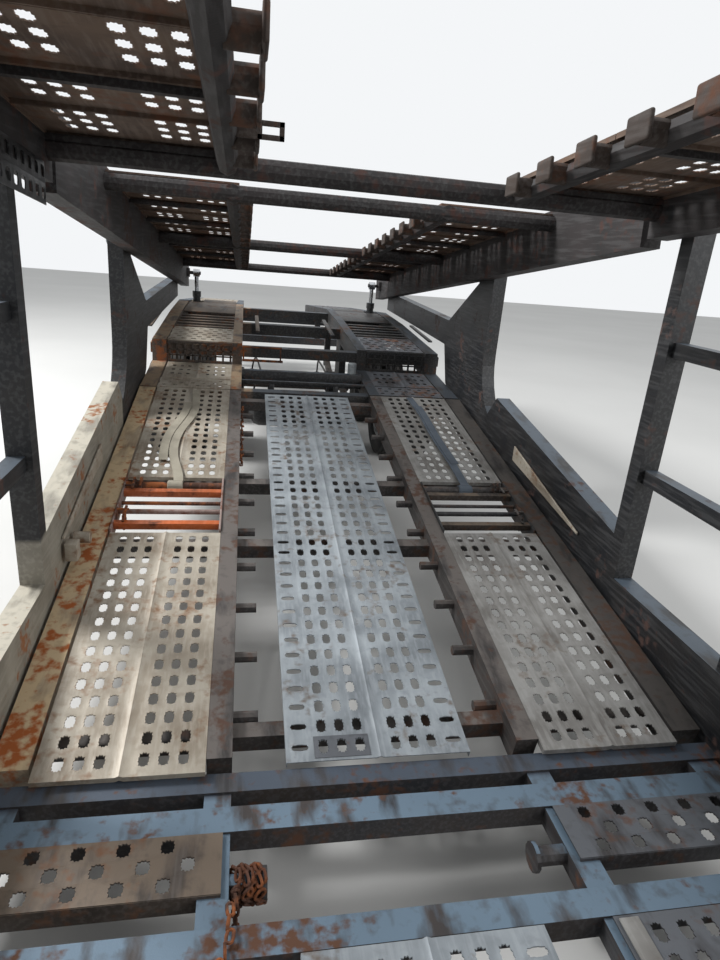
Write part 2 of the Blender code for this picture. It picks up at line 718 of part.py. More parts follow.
def neck_frame():
    top = NECK_CROSS_TOP
    shapes = [
        box(
            (-COUPLER_HALF, COUPLER_HALF),
            (NOSE_Y + 0.15, NECK_END - 0.25),
            (NECK_BOTTOM, NECK_BOTTOM + 0.014),
        ),
    ]
    for at in (0.02, 0.62, 1.25, NECK_LENGTH - 0.65, NECK_LENGTH - 0.12):
        y = NOSE_Y + at
        shapes.append(
            box((-SIDE_IN + GAP, SIDE_IN - GAP), (y, y + 0.08), (NECK_BOTTOM + 0.010, top))
        )
    for x in (-NECK_BEAM_X, NECK_BEAM_X - 0.06):
        beam = box((x, x + 0.06), (NOSE_Y + 0.03, NECK_END - 0.05), (NECK_BOTTOM + 0.01, top - 0.004))
        shapes.append(beam)
    for _, side in SIDES:
        riser = prism_x(
            [
                (NECK_END - 0.10, NECK_TOP - 0.02),
                (NECK_END - 0.10, NECK_BOTTOM + 0.02),
                (BELLY_START - 0.14, RAIL_BOTTOM + 0.01),
                (BELLY_START - 0.02, RAIL_BOTTOM + 0.01),
                (BELLY_START - 0.02, CROSS_TOP + 0.05),
                (NECK_END + 0.06, NECK_TOP - 0.02),
            ],
            INNER_EDGE + 0.02,
            RUNWAY_IN,
        )
        shapes.append(mirrored(riser, side))
    foot = box(
        (-SIDE_IN + GAP, SIDE_IN - GAP),
        (BELLY_START - 0.12, BELLY_START - 0.03),
        (RAIL_BOTTOM + 0.005, CROSS_TOP + 0.04),
    )
    pin_y = NOSE_Y + KING_PIN_BACK
    king = rod((0, pin_y, NECK_BOTTOM + 0.01), (0, pin_y, NECK_BOTTOM - 0.084), 0.0254, 16)
    collar = rod((0, pin_y, NECK_BOTTOM - 0.062), (0, pin_y, NECK_BOTTOM - 0.084), 0.0357, 16)
    return solid("neck_frame", "black_paint", [*shapes, foot, king, collar])


LEG_Y = BELLY_START - 0.32
LEG_X = SIDE_X - 0.435


def landing_leg(name, side):
    outer = box((LEG_X - 0.065, LEG_X + 0.065), (LEG_Y - 0.065, LEG_Y + 0.065), (0.30, 1.02))
    inner = box((LEG_X - 0.05, LEG_X + 0.05), (LEG_Y - 0.05, LEG_Y + 0.05), (0.02, 0.32))
    foot = box((LEG_X - 0.13, LEG_X + 0.13), (LEG_Y - 0.12, LEG_Y + 0.12), (0, 0.03))
    arm = box((LEG_X, SIDE_IN - GAP), (LEG_Y - 0.04, LEG_Y + 0.04), (0.78, 0.90))
    shaft = rod((LEG_X, LEG_Y, 0.70), (SIDE_IN - 0.02, LEG_Y, 0.70), 0.014, 8)
    return solid(name, "black_paint", [mirrored(s, side) for s in (outer, inner, foot, arm, shaft)])


# Running gear

SPRING_RISE = 0.10
SPRING_THICK = 0.032
AXLE_TO_TYRE = 0.1875  # from the tube's end to the middle of the inner tyre
SPINDLE_TO_TYRE = 0.0945  # from the spindle's end to the middle of the outer tyre


def axle(name, y):
    """Axle tube with its spindles, spring seats and leaf springs."""
    z = TYRE_R
    half = INNER_TYRE_X - AXLE_TO_TYRE
    beam = rod((-half, y, z), (half, y, z), AXLE_R, 16)
    tip = OUTER_TYRE_X - SPINDLE_TO_TYRE
    spindles = [rod((side * (half - 0.02), y, z), (side * tip, y, z), SPINDLE_R, 12) for _, side in SIDES]
    springs = []
    half = SPRING_HALF - GAP
    radius = (half**2 + SPRING_RISE**2) / (2 * SPRING_RISE)
    spread = math.degrees(math.asin(half / radius))
    seat_z = z + AXLE_R + 0.012
    centre = (y, seat_z + radius)
    under = arc(centre, radius, 270 - spread, 270 + spread, 8)
    upper = arc(centre, radius - SPRING_THICK, 270 + spread, 270 - spread, 8)
    for _, side in SIDES:
        springs.append(mirrored(prism_x(under + upper, *SPRING_X), side))
        seat = box((SPRING_X[0] - 0.01, SPRING_X[1] + 0.01), (y - 0.07, y + 0.07), (z, seat_z + 0.045))
        springs.append(mirrored(seat, side))
    return solid(name, "worn_steel", [beam, *spindles, *springs])


def twin_wheel(name, y, side):
    """Two rims back to back on one hub, turned as one piece."""
    outer, inner, half = OUTER_TYRE_X, INNER_TYRE_X, RIM_W / 2
    middle = (outer + inner) / 2
    wall = 0.016
    outline = [  # x, radius
        (outer + 0.03, 0.0),
        (outer + 0.03, 0.055),
        (outer - 0.04, 0.070),
        (middle + 0.03, 0.105),
        (middle + 0.02, 0.165),
        (outer - half + 0.03, RIM_R - wall),
        (outer + half, RIM_R - wall),
        (outer + half, RIM_R),
        (outer - half, RIM_R),
        (middle, RIM_R - 0.04),
        (inner + half, RIM_R),
        (inner - half, RIM_R),
        (inner - half, RIM_R - wall),
        (middle - 0.03, 0.150),
        (inner - half - 0.02, 0.100),
        (inner - half - 0.02, SPINDLE_R + SPINDLE_PLAY),
        (outer - 0.075, SPINDLE_R + SPINDLE_PLAY),
        (outer - 0.075, 0.0),
    ]
    shape = mirrored(ring_about_x(outline, 0, 0), side)
    return solid(name, "zinc", [shape], origin=(0, y, TYRE_R))


def tyre(name, y, side, x):
    half, tread = TYRE_W / 2, TYRE_W / 2 - 0.022
    bead = RIM_R + GAP
    outline = [  # x from the tyre's middle, radius
        (-RIM_W / 2 + 0.004, bead),
        (RIM_W / 2 - 0.004, bead),
        (half, bead + 0.080),
        (half - 0.006, TYRE_R - 0.035),
        (tread, TYRE_R),
        (-tread, TYRE_R),
        (-half + 0.006, TYRE_R - 0.035),
        (-half, bead + 0.080),
    ]
    shape = ring_about_x([(x + u, r) for u, r in outline], 0, 0)
    return solid(name, "rubber", [mirrored(shape, side)], origin=(0, y, TYRE_R))


def running_gear():
    for place, y in AXLES:
        axle(f"axle_{place}", y)
        for name, side in SIDES:
            twin_wheel(f"wheel_{place}_{name}", y, side)
            tyre(f"tyre_{place}_{name}_outer", y, side, OUTER_TYRE_X)
            tyre(f"tyre_{place}_{name}_inner", y, side, INNER_TYRE_X)


# Upper decks, each built flat about its pins and turned to its slope

DECKS = {  # name: pins, slope, ends of the side beams, ends of the runways, beam's top and depth, cross tubes
    "front_deck": (
        FRONT_PIVOT,
        FRONT_SLOPE,
        (NOSE_Y + 0.02 - FRONT_PIVOT[0], 0.12),
        (NOSE_Y + 0.02 - FRONT_PIVOT[0], 0.12),
        (0.09, 0.17),
        (NOSE_Y + 0.08 - FRONT_PIVOT[0], -3.2, -1.6, 0.085),
    ),
    "rear_deck": (REAR_PIVOT, REAR_SLOPE, (-1.95, 3.52), (-1.17, 2.85), (0.20, 0.275), (-1.13, 0.82, 2.80)),
}


def upper_deck(name, extras=()):
    pivot, slope, beam_ends, (low, high), (top, deep), cross_at = DECKS[name]
    under = top - FLOOR_DROP - PLATE - GAP
    tube_z = under - DECK_TUBE_R - 0.0008
    tube_ends = [(DECK_RUNWAY_IN, y, tube_z) for y in (low + 0.01, high - 0.01)]
    cross_x, cross_z = DECK_BEAM_OUT - 0.02, under - CROSS_TUBE_R - 0.0012
    shapes = [rod((-cross_x, at, cross_z), (cross_x, at, cross_z), CROSS_TUBE_R, 10) for at in cross_at]
    count = round((high - low - 0.1) / RIB_STEP)
    step = (high - low - 0.1) / count
    cuts = []
    for _, side in SIDES:
        shapes += [mirrored(extra.copy(), side) for extra in extras]
        beam = box((DECK_BEAM_OUT - DECK_BEAM_W, DECK_BEAM_OUT), beam_ends, (top - deep, top))
        shapes += [mirrored(beam, side), mirrored(rod(*tube_ends, DECK_TUBE_R, 8), side)]
        for i in range(count + 1):
            at = low + 0.03 + i * step
            rib = box((DECK_RUNWAY_IN, DECK_BEAM_OUT - 0.03), (at, at + RIB_WIDE), (under - RIB_DEEP, under))
            shapes.append(mirrored(rib, side))
        hole_x = (DECK_BEAM_OUT - DECK_BEAM_W - 0.05, DECK_BEAM_OUT + 0.05)
        hole = rod((hole_x[0], 0, 0), (hole_x[1], 0, 0), PIVOT_R + PIN_PLAY, PIN_SIDES)
        cuts.append(mirrored(hole, side))
    solid(f"{name}_frame", "rusty_plate", shapes, cuts, origin=(0, *pivot), turn=slope)
    for side_name, side in SIDES:
        x = (DECK_RUNWAY_IN - 0.03, DECK_BEAM_OUT - DECK_BEAM_W - GAP)
        sheet = box(x, (low + 0.02, high - 0.02), (under + GAP, under + GAP + PLATE))
        node = f"{name}_runway_{side_name}"
        solid(node, "rusty_plate", [mirrored(sheet, side)], origin=(0, *pivot), turn=slope)


# Lifting cylinders of the rear deck: a barrel on a low bracket, and a rod whose eye hangs on the deck's pin

def lift_head():
    """Where the rods' eyes hold the rear deck: y and z at rest."""
    c, s = math.cos(REAR_SLOPE), math.sin(REAR_SLOPE)
    y, z = LIFT_AT, LIFT_EYE_Z
    return REAR_PIVOT[0] + y * c - z * s, REAR_PIVOT[1] + y * s + z * c


def lift_lugs():
    """Ear and pin on the rear deck's beam, on the right side."""
    beam_in = DECK_BEAM_OUT - DECK_BEAM_W
    ear_z = (LIFT_EYE_Z - 0.045, LIFT_EYE_Z + 0.045)
    ear = box((beam_in - 0.03, beam_in + 0.02), (LIFT_AT - 0.05, LIFT_AT + 0.05), ear_z)
    pin_x = (beam_in - 0.02, LIFT_X - EYE_HALF - 0.01)
    pin = rod((pin_x[0], LIFT_AT, LIFT_EYE_Z), (pin_x[1], LIFT_AT, LIFT_EYE_Z), LIFT_PIN_R, PIN_SIDES)
    return ear, pin


def lift_barrel(name, side):
    foot = (0, lift_head()[0], LIFT_FOOT_Z)
    tube = rod((LIFT_X, 0, 0.03), (LIFT_X, 0, BARREL_LENGTH), BARREL_R, 16)
    gland = rod((LIFT_X, 0, BARREL_LENGTH - 0.05), (LIFT_X, 0, BARREL_LENGTH + 0.012), BARREL_R + 0.007, 16)
    eye = rod((LIFT_X - EYE_HALF, 0, 0), (LIFT_X + EYE_HALF, 0, 0), EYE_R, 16)
    bore = rod((LIFT_X, 0, 0.075), (LIFT_X, 0, BARREL_LENGTH + 0.1), ROD_R + PIN_PLAY, 16)
    hole = rod((LIFT_X - 0.1, 0, 0), (LIFT_X + 0.1, 0, 0), LIFT_PIN_R + PIN_PLAY, PIN_SIDES)
    shapes = [mirrored(s, side) for s in (tube, gland, eye)]
    cuts = [mirrored(s, side) for s in (bore, hole)]
    return solid(name, "black_paint", shapes, cuts, origin=foot)


def lift_rod(name, side):
    head_y, head_z = lift_head()
    length = head_z - LIFT_FOOT_Z
    bar = rod((LIFT_X, 0, -length + 0.085), (LIFT_X, 0, -0.02), ROD_R, 16)
    eye = rod((LIFT_X - EYE_HALF, 0, 0), (LIFT_X + EYE_HALF, 0, 0), EYE_R, 16)
    hole = rod((LIFT_X - 0.1, 0, 0), (LIFT_X + 0.1, 0, 0), LIFT_PIN_R + EYE_PLAY, PIN_SIDES)
    shapes = [mirrored(s, side) for s in (bar, eye)]
    return solid(name, "chrome", shapes, [mirrored(hole, side)], origin=(0, head_y, head_z))


def build():
    clear_scene()
    for name, side in SIDES:
        side_frame(f"side_frame_{name}", side)
        strap_winch(f"strap_winch_{name}", side)
        strap(f"strap_{name}", side)
        rear_runway(f"rear_runway_{name}", side)
        loading_ramp(f"loading_ramp_{name}", side)
        landing_leg(f"landing_leg_{name}", side)
        lift_barrel(f"lift_barrel_{name}", side)
        lift_rod(f"lift_rod_{name}", side)
    belly_frame()
    mid_frame()
    rear_frame()
    neck_frame()
    tail_bar()
    lower_panels()
    bay_panels()
    running_gear()
    upper_deck("front_deck")
    upper_deck("rear_deck", extras=lift_lugs())


build()
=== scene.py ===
# %% [markdown]
# # A double-deck car transporter semitrailer
# The part is an empty two-level trailer that carries cars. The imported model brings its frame, decks,
# wheels and joints. This lesson dresses it: punched runway plates, worn paint, rusty steel, straps,
# chains and lamps. Each step says what the real thing is and why it is made this way.

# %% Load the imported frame
import math

import bmesh
import bpy
from mathutils import Matrix, Vector


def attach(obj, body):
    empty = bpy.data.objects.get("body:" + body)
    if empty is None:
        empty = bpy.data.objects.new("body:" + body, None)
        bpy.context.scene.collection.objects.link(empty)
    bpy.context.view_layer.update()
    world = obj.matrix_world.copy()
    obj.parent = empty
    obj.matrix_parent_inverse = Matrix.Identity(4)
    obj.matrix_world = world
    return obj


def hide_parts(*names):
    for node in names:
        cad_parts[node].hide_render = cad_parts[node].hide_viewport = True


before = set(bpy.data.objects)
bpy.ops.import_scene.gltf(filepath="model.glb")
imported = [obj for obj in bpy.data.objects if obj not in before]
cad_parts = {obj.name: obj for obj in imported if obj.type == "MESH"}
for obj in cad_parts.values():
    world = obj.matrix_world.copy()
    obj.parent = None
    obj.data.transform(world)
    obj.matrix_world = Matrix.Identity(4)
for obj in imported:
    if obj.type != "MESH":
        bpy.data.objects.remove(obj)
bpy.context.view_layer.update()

# %% [markdown]
# ## The camera
# The photograph was taken inside the low front bay, looking to the tail. Its place and its turn come
# from the vanishing points of the runways and the posts. The lens is given for an upright frame.

# %% Camera
CAMERA_PLACE = (-0.4655, -3.2, 1.8396)
CAMERA_TURN = (70.46, -4.485, -9.532)  # degrees about X, Y and Z

bpy.ops.object.camera_add(location=CAMERA_PLACE, rotation=[math.radians(a) for a in CAMERA_TURN])
camera = bpy.context.object
camera.name = "view_to_tail"
camera.data.sensor_fit = "VERTICAL"
camera.data.sensor_height = 36
camera.data.lens = 24.0
camera.data.clip_start = 0.02
bpy.context.scene.camera = camera
print("camera at", CAMERA_PLACE)

# %% [markdown]
# ## Colours and nodes
# Colours are written as sRGB hex values, as a paint chart gives them. Shaders want linear light, so one
# function turns them. The others add a node with its values, make masks, and blend two colours by a mask.


# %% Small helpers for materials
def linear(hex_colour):
    """A linear colour with alpha from six hex digits."""
    parts = [int(hex_colour[i : i + 2], 16) / 255 for i in (1, 3, 5)]
    return [c / 12.92 if c < 0.04045 else ((c + 0.055) / 1.055) ** 2.4 for c in parts] + [1.0]


def fill(tree, node, values):
    """Fills a node's sockets: a socket of another node is linked, the rest is set."""
    for key, value in values.items():
        if isinstance(value, bpy.types.NodeSocket):
            tree.links.new(value, node.inputs[key])
        else:
            node.inputs[key].default_value = value


def add_node(tree, kind, values=None, **settings):
    node = tree.nodes.new(kind)
    for name, value in settings.items():
        setattr(node, name, value)
    fill(tree, node, values or {})
    return node


def new_material(name):
    """A new material, its nodes, its shader and the place on the piece in metres."""
    made = bpy.data.materials.new(name)
    made.use_nodes = True
    tree = made.node_tree
    place = add_node(tree, "ShaderNodeTexCoord").outputs["Object"]
    return made, tree, tree.nodes["Principled BSDF"], place


def maths(tree, operation, first, second):
    return add_node(tree, "ShaderNodeMath", {0: first, 1: second}, operation=operation).outputs[0]


def noise(tree, place, scale, detail=2.0):
    values = {"Vector": place, "Scale": scale, "Detail": detail}
    return add_node(tree, "ShaderNodeTexNoise", values).outputs["Fac"]


def between(tree, value, low, high):
    """A mask that is 0 where the value is under low and 1 where it is over high."""
    node = add_node(tree, "ShaderNodeValToRGB", {"Fac": value})
    first, last = node.color_ramp.elements
    first.position, last.position = low, high
    return node.outputs["Color"]


def patches(tree, place, scale, low, high, detail=4.0, stretch=(1, 1, 1)):
    """A mask of soft patches: 0 under low, 1 over high."""
    spread = add_node(tree, "ShaderNodeMapping", {"Vector": place, "Scale": stretch})
    return between(tree, noise(tree, spread.outputs[0], scale, detail), low, high)


def mixed(tree, mask, first, second):
    """The second colour over the first where the mask is bright."""
    below, above = [linear(colour) if isinstance(colour, str) else colour for colour in (first, second)]
    return add_node(tree, "ShaderNodeMix", {0: mask, 6: below, 7: above}, data_type="RGBA").outputs[2]


def over(tree, place, direction, level, soft=0.01):
    """A mask that is 1 where a place, measured along a direction, lies over a level."""
    along = add_node(tree, "ShaderNodeVectorMath", {0: place, 1: direction}, operation="DOT_PRODUCT")
    ends = {"Value": along.outputs["Value"], "From Min": level - soft, "From Max": level + soft}
    return add_node(tree, "ShaderNodeMapRange", ends).outputs[0]


def ranged(tree, mask, low, high):
    """A level that goes from low, where the mask is 0, to high."""
    return add_node(tree, "ShaderNodeMapRange", {"Value": mask, "To Min": low, "To Max": high}).outputs[0]


def relief(tree, shader, height, strength, distance):
    bump = add_node(tree, "ShaderNodeBump", {"Height": height, "Strength": strength, "Distance": distance})
    fill(tree, shader, {"Normal": bump.outputs[0]})


# %% [markdown]
# ## Worn steel and paint
# The whole trailer is welded steel under paint, and it has worked hard. The paint is scuffed where tyres
# and chains rub, pale where it has chalked, and rust comes through in patches. All the steel shares one
# recipe: a base colour, soft dirt a hand wide, rust patches, and fine scratches. Each finish only changes its
# colours and how much of each shows.


# %% The recipe for worn steel
DIRT_SCALE = 5.0  # patches about 200 mm across
STAIN_SCALE = 24.0  # small stains of 40 mm
RUST_SCALE = 26.0  # patches about 40 mm across, gathered where the wide noise is high
WIDE_SCALE = 4.0
SCUFF_SCALE = 11.0
GRIT_SCALE = 170.0  # pitting of about 6 mm, coarser than real so that it shows
STREAKS = (70, 5, 70)  # scratches run along the trailer
ALONG_SCUFFS = (1, 0.35, 1)


def worn_steel(name, colours, rust_low, rust_high, metallic, rough, zones=()):
    """Painted or bare steel. The four colours are the base, dirt, rust and faces that look up, if any, whose
    lighter colour is partly wear and partly a painted highlight. Each zone has a direction, a level and four
    colours, which hold where the place lies over that level."""
    made, tree, shader, place = new_material(name)
    for direction, level, *others in zones:
        there = over(tree, place, direction, level)
        colours = [mixed(tree, there, first, second) for first, second in zip(colours, others)]
    base, dirt, rust, worn_and_highlit_top = colours
    colour = mixed(tree, patches(tree, place, DIRT_SCALE, 0.38, 0.66, 8.0), base, dirt)
    pale = maths(tree, "MULTIPLY", patches(tree, place, 1.0, 0.47, 0.62, 6.0, STREAKS), 0.35)
    bright = linear(base) if isinstance(base, str) else base
    lighter = add_node(tree, "ShaderNodeBrightContrast", {"Color": bright, "Bright": 0.07})
    colour = mixed(tree, pale, colour, lighter.outputs[0])
    # Faces that look up turn lighter: partly rubbed paint, partly a painted highlight, bluish on the dark
    # paints.
    if worn_and_highlit_top:
        normal = add_node(tree, "ShaderNodeNewGeometry").outputs["Normal"]
        up = between(tree, add_node(tree, "ShaderNodeSeparateXYZ", {0: normal}).outputs["Z"], 0.75, 0.93)
        scuffs = patches(tree, place, SCUFF_SCALE, 0.36, 0.50, 9.0, ALONG_SCUFFS)
        colour = mixed(tree, maths(tree, "MULTIPLY", up, scuffs), colour, worn_and_highlit_top)
    stains = maths(tree, "MULTIPLY", patches(tree, place, STAIN_SCALE, 0.55, 0.75, 9.0), 0.55)
    colour = mixed(tree, stains, colour, dirt)
    both = maths(tree, "ADD", noise(tree, place, WIDE_SCALE, 3.0), noise(tree, place, RUST_SCALE, 10.0))
    rusted = between(tree, maths(tree, "MULTIPLY", both, 0.5), rust_low, rust_high)
    colour = mixed(tree, rusted, colour, rust)
    roughness = ranged(tree, rusted, rough, min(0.95, rough + 0.3))
    fill(tree, shader, {"Base Color": colour, "Metallic": metallic, "Roughness": roughness})
    relief(tree, shader, noise(tree, place, GRIT_SCALE, 3.0), 0.25, 0.002)
    return made


# %% [markdown]
# ## The finishes
# Black chassis paint is brushed or sprayed enamel, half matt with a little grey dust. The cross beams' tops
# are rubbed down to a pale blue primer, which is partly a painted highlight. The inner beams have lost nearly
# all paint to brown rust. The outer beam on the left still has its cream paint, with orange rust along it,
# and is painted warmer, as in sunlight. Plates are hot-dip galvanised and then driven over for years, which
# leaves them a dull cream grey with dark stains; the left plates are painted warmer, as in sunlight, and the
# middle ones bluer, as in shade.

# %% Steel and paint finishes
FINISHES = {}
for name, base, dirt, rust, low, high, metallic, rough, worn_and_highlit_top in (
    ("black_chassis_enamel", "#111317", "#1e1d1d", "#43302a", 0.58, 0.66, 0.0, 0.45, "#3e4852"),
    ("scuffed_black_plate", "#17191c", "#2a2724", "#523a2c", 0.55, 0.64, 0.05, 0.50, None),
    ("brown_worn_beam", "#3b3634", "#292625", "#523c31", 0.53, 0.62, 0.15, 0.65, "#605a56"),
    # The warm plate colour is the galvanised grey with a painted sunlit warmth, the cool one the same grey
    # with a painted blue shade.
    ("galvanised_plate_painted_sun", "#aaa294", "#857a6b", "#7d5f47", 0.545, 0.66, 0.2, 0.52, None),
    ("galvanised_plate_painted_shade", "#959ca1", "#70767b", "#665a50", 0.555, 0.67, 0.25, 0.50, None),
    ("galvanised_plate_grey", "#93928f", "#6b6864", "#675648", 0.55, 0.67, 0.2, 0.52, None),
    ("brown_punched_plate", "#4a4038", "#322c28", "#6d4a33", 0.53, 0.65, 0.1, 0.62, "#675a4d"),
    ("dark_punched_plate", "#3e3d40", "#2e2b2b", "#5f4232", 0.53, 0.65, 0.2, 0.55, "#5b5e63"),
    ("rusted_deck_plate", "#695648", "#483a32", "#6c4a38", 0.525, 0.65, 0.05, 0.85, None),
    ("dark_deck_steel", "#1b1818", "#262020", "#46302a", 0.54, 0.64, 0.1, 0.70, None),
    ("dark_stub_iron", "#33271f", "#261d18", "#553727", 0.51, 0.63, 0.1, 0.80, None),
    ("orange_enamel", "#c0602b", "#96502c", "#5e3522", 0.53, 0.62, 0.0, 0.55, None),
    ("pink_grey_primer", "#94807a", "#6e5d55", "#6f4531", 0.51, 0.62, 0.05, 0.65, None),
    ("rusted_chain_iron", "#5e3723", "#3c261b", "#95572f", 0.49, 0.60, 0.2, 0.85, None),
    ("zinc_dipped_steel", "#9aa0a3", "#7f8486", "#6f655b", 0.58, 0.70, 0.6, 0.45, None),
    ("silver_wheel_enamel", "#b3b6b9", "#8b8a87", "#6e625a", 0.57, 0.68, 0.35, 0.42, None),
):
    FINISHES[name] = worn_steel(name, (base, dirt, rust, worn_and_highlit_top), low, high, metallic, rough)
print(len(FINISHES), "steel and paint finishes")

# %% [markdown]
# ## Finishes that change along a piece
# One welded frame can wear several paints. The left rail is cream where hands and chains have worn it, and
# black over and behind that. The climbing deck's frame is bare brown between the beams; outside, its worn
# cream grey paint is painted warm cream on the left, as in sunlight, and dark grey on the right, as in shade.
# Over the axles the left side is tan, where the sun and the rain reach it. The first beam of the low bay is
# darker than the other four.

# %% Zoned finishes
BLACK = ("#111317", "#1e1d1d", "#43302a", "#3e4852")
# Cream is the outer beams' worn paint with a painted sunlit warmth; grey brown is the same paint darkened by
# painted shade.
CREAM_PAINTED_SUN = ("#a5957d", "#806d56", "#9c5526", "#bfa987")
GREY_BROWN_PAINTED_SHADE = ("#2f2c2a", "#252221", "#4f392d", "#4a4643")
DARK_BLUE = ("#292b30", "#37312e", "#5a3d2e", "#424b57")
TAN = ("#5d4e42", "#3b322c", "#8a5230", "#8b775f")
TAN_END = 4.40
RAIL_CREAM = ("#8f8a7e", "#736e63", "#8a5a38", "#b6b0a1")
LOW_RAIL_TOP = 0.58
NECK_FOOT = -4.04
RAIL_TOP = 0.885  # of the sloping rail, measured upright, less its rise of 0.19 per metre
RAIL_END = 0.90
OUTER_BEAM_X = 1.072
TAN_FROM_X = 0.40
FIRST_BEAM_Y = -1.675
for name, colours, low, high, metallic, zones in (
    (
        "cream_worn_rail",
        RAIL_CREAM,
        0.575, 0.65, 0.0,
        (
            ((0, -0.19, 1), RAIL_TOP, *BLACK),
            ((0, 0, -1), -LOW_RAIL_TOP, *RAIL_CREAM),
            ((0, -1, 0), -NECK_FOOT, *BLACK),
            ((0, 1, 0), RAIL_END, *BLACK),
        ),
    ),
    (
        "frame_painted_sun_and_shade",
        ("#3b3634", "#292625", "#523c31", "#605a56"),
        0.525, 0.61, 0.1,
        # Painted sunlight outside the left beam, painted shade outside the right one.
        (((-1, 0, 0), OUTER_BEAM_X, *CREAM_PAINTED_SUN), ((1, 0, 0), OUTER_BEAM_X, *GREY_BROWN_PAINTED_SHADE)),
    ),
    (
        "tan_left_black_right_frame",
        ("#17191c", "#2a2724", "#523a2c", "#363c43"),
        0.55, 0.64, 0.05,
        (((-1, 0, 0), TAN_FROM_X, *TAN), ((0, 1, 0), TAN_END, *BLACK)),
    ),
    (
        # Its pale blue tops are partly a painted highlight.
        "beam_wear_and_painted_highlight",
        ("#2a2b2f", "#3a3330", "#573b2b", "#617484"),
        0.545, 0.63, 0.1,
        (((0, 1, 0), FIRST_BEAM_Y, *DARK_BLUE),),
    ),
):
    FINISHES[name] = worn_steel(name, colours, low, high, metallic, 0.6, zones)
print("four zoned finishes")

# %% [markdown]
# ## Rubber, chrome, webbing and lenses
# Tyres are moulded rubber: nearly black, matt, with patches of pale road dust. The lift rods are
# ground and hard chromed, so they mirror. The straps are woven polyester, 50 mm wide: the weave's ribs are
# 1.5 mm apart on the real one and 4 mm here so that they show. Lenses are clear tinted acrylic.


# %% Materials that aren't worn steel
def moulded_rubber(name, base, dust):
    made, tree, shader, place = new_material(name)
    dusty = mixed(tree, patches(tree, place, 7.0, 0.45, 0.75), base, dust)
    fill(tree, shader, {"Base Color": dusty, "Roughness": 0.85})
    relief(tree, shader, noise(tree, place, 220.0), 0.2, 0.001)
    return made


def ground_chrome(name):
    made, tree, shader, place = new_material(name)
    film = patches(tree, place, 12.0, 0.45, 0.80)
    colour = mixed(tree, film, "#c9ccd0", "#8f8a83")
    fill(tree, shader, {"Base Color": colour, "Metallic": 1.0, "Roughness": ranged(tree, film, 0.12, 0.38)})
    return made


def woven_webbing(name, clean, soiled_with, ground):
    made, tree, shader, place = new_material(name)
    weave = {"Vector": place, "Scale": 78.0, "Distortion": 0.6, "Detail": 1.0}
    ribs = add_node(tree, "ShaderNodeTexWave", weave, bands_direction="Y").outputs["Fac"]
    soiled = mixed(tree, patches(tree, place, 8.0, 0.40, 0.70), clean, soiled_with)
    fill(tree, shader, {"Base Color": mixed(tree, ribs, ground, soiled), "Roughness": 0.95})
    relief(tree, shader, ribs, 0.5, 0.001)
    return made


def tinted_lens(name, colour):
    made, tree, shader, place = new_material(name)
    prisms = add_node(tree, "ShaderNodeTexVoronoi", {"Vector": place, "Scale": 90.0}).outputs["Distance"]
    deep = mixed(tree, prisms, colour, "#2a0d08")
    fill(tree, shader, {"Base Color": deep, "Roughness": 0.15, "Coat Weight": 0.6})
    return made


for make, name, *colours in (
    (moulded_rubber, "moulded_tyre_rubber", "#1c1c1d", "#3d3a36"),
    (ground_chrome, "hard_chrome"),
    (woven_webbing, "woven_webbing", "#aba595", "#7c766a", "#8b8577"),
    (woven_webbing, "dark_webbing", "#5d6670", "#454c55", "#4d555f"),
    (tinted_lens, "red_acrylic", "#a3130f"),
    (tinted_lens, "amber_acrylic", "#c8660c"),
):
    FINISHES[name] = make(name, *colours)
print(len(FINISHES), "finishes in all")

# %% [markdown]
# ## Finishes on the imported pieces
# Pieces whose shape is right keep their mesh and only get a better material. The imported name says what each
# one is, so one table gives the finish from the start of the name.

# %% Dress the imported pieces
NODE_FINISHES = (
    ("side_frame_left", "cream_worn_rail"),
    ("side_frame", "black_chassis_enamel"),
    ("landing_leg", "black_chassis_enamel"),
    ("neck_frame", "black_chassis_enamel"),
    ("rear_frame", "tan_left_black_right_frame"),
    ("tail_bar", "black_chassis_enamel"),
    ("belly_frame", "beam_wear_and_painted_highlight"),
    ("mid_frame", "frame_painted_sun_and_shade"),
    ("axle", "brown_worn_beam"),
    ("wheel", "silver_wheel_enamel"),
    ("tyre", "moulded_tyre_rubber"),
    ("front_deck_frame", "dark_deck_steel"),
    ("rear_deck_frame", "dark_deck_steel"),
    ("lift_barrel", "black_chassis_enamel"),
    ("lift_rod", "hard_chrome"),
    ("loading_ramp", "zinc_dipped_steel"),
    ("strap_winch", "pink_grey_primer"),
    ("strap_", "woven_webbing"),
    ("front_deck_runway", "rusted_deck_plate"),
    ("rear_deck_runway", "rusted_deck_plate"),
    # Other imported plates get the galvanised grey with its painted blue shade.
    ("", "galvanised_plate_painted_shade"),
)
for node_name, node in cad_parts.items():
    finish = next(finish for start, finish in NODE_FINISHES if node_name.startswith(start))
    node.data.materials.clear()
    node.data.materials.append(FINISHES[finish])
print("finishes given to", len(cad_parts), "packed pieces")

# %% [markdown]
# ## Helpers for modelling
# Blender's operators act on all that is selected, so every step starts by selecting only what it needs. In
# edit mode, parts of the mesh are picked by where they are.


# %% Select, edit, apply and finish
def select_only(*objects):
    bpy.ops.object.select_all(action="DESELECT")
    for obj in objects:
        obj.select_set(True)
    bpy.context.view_layer.objects.active = objects[0]


def edit(obj, kind="FACE"):
    select_only(obj)
    bpy.ops.object.mode_set(mode="EDIT")
    bpy.ops.mesh.select_mode(type=kind)
    bpy.ops.mesh.select_all(action="DESELECT")


def leave_edit():
    bpy.ops.object.mode_set(mode="OBJECT")


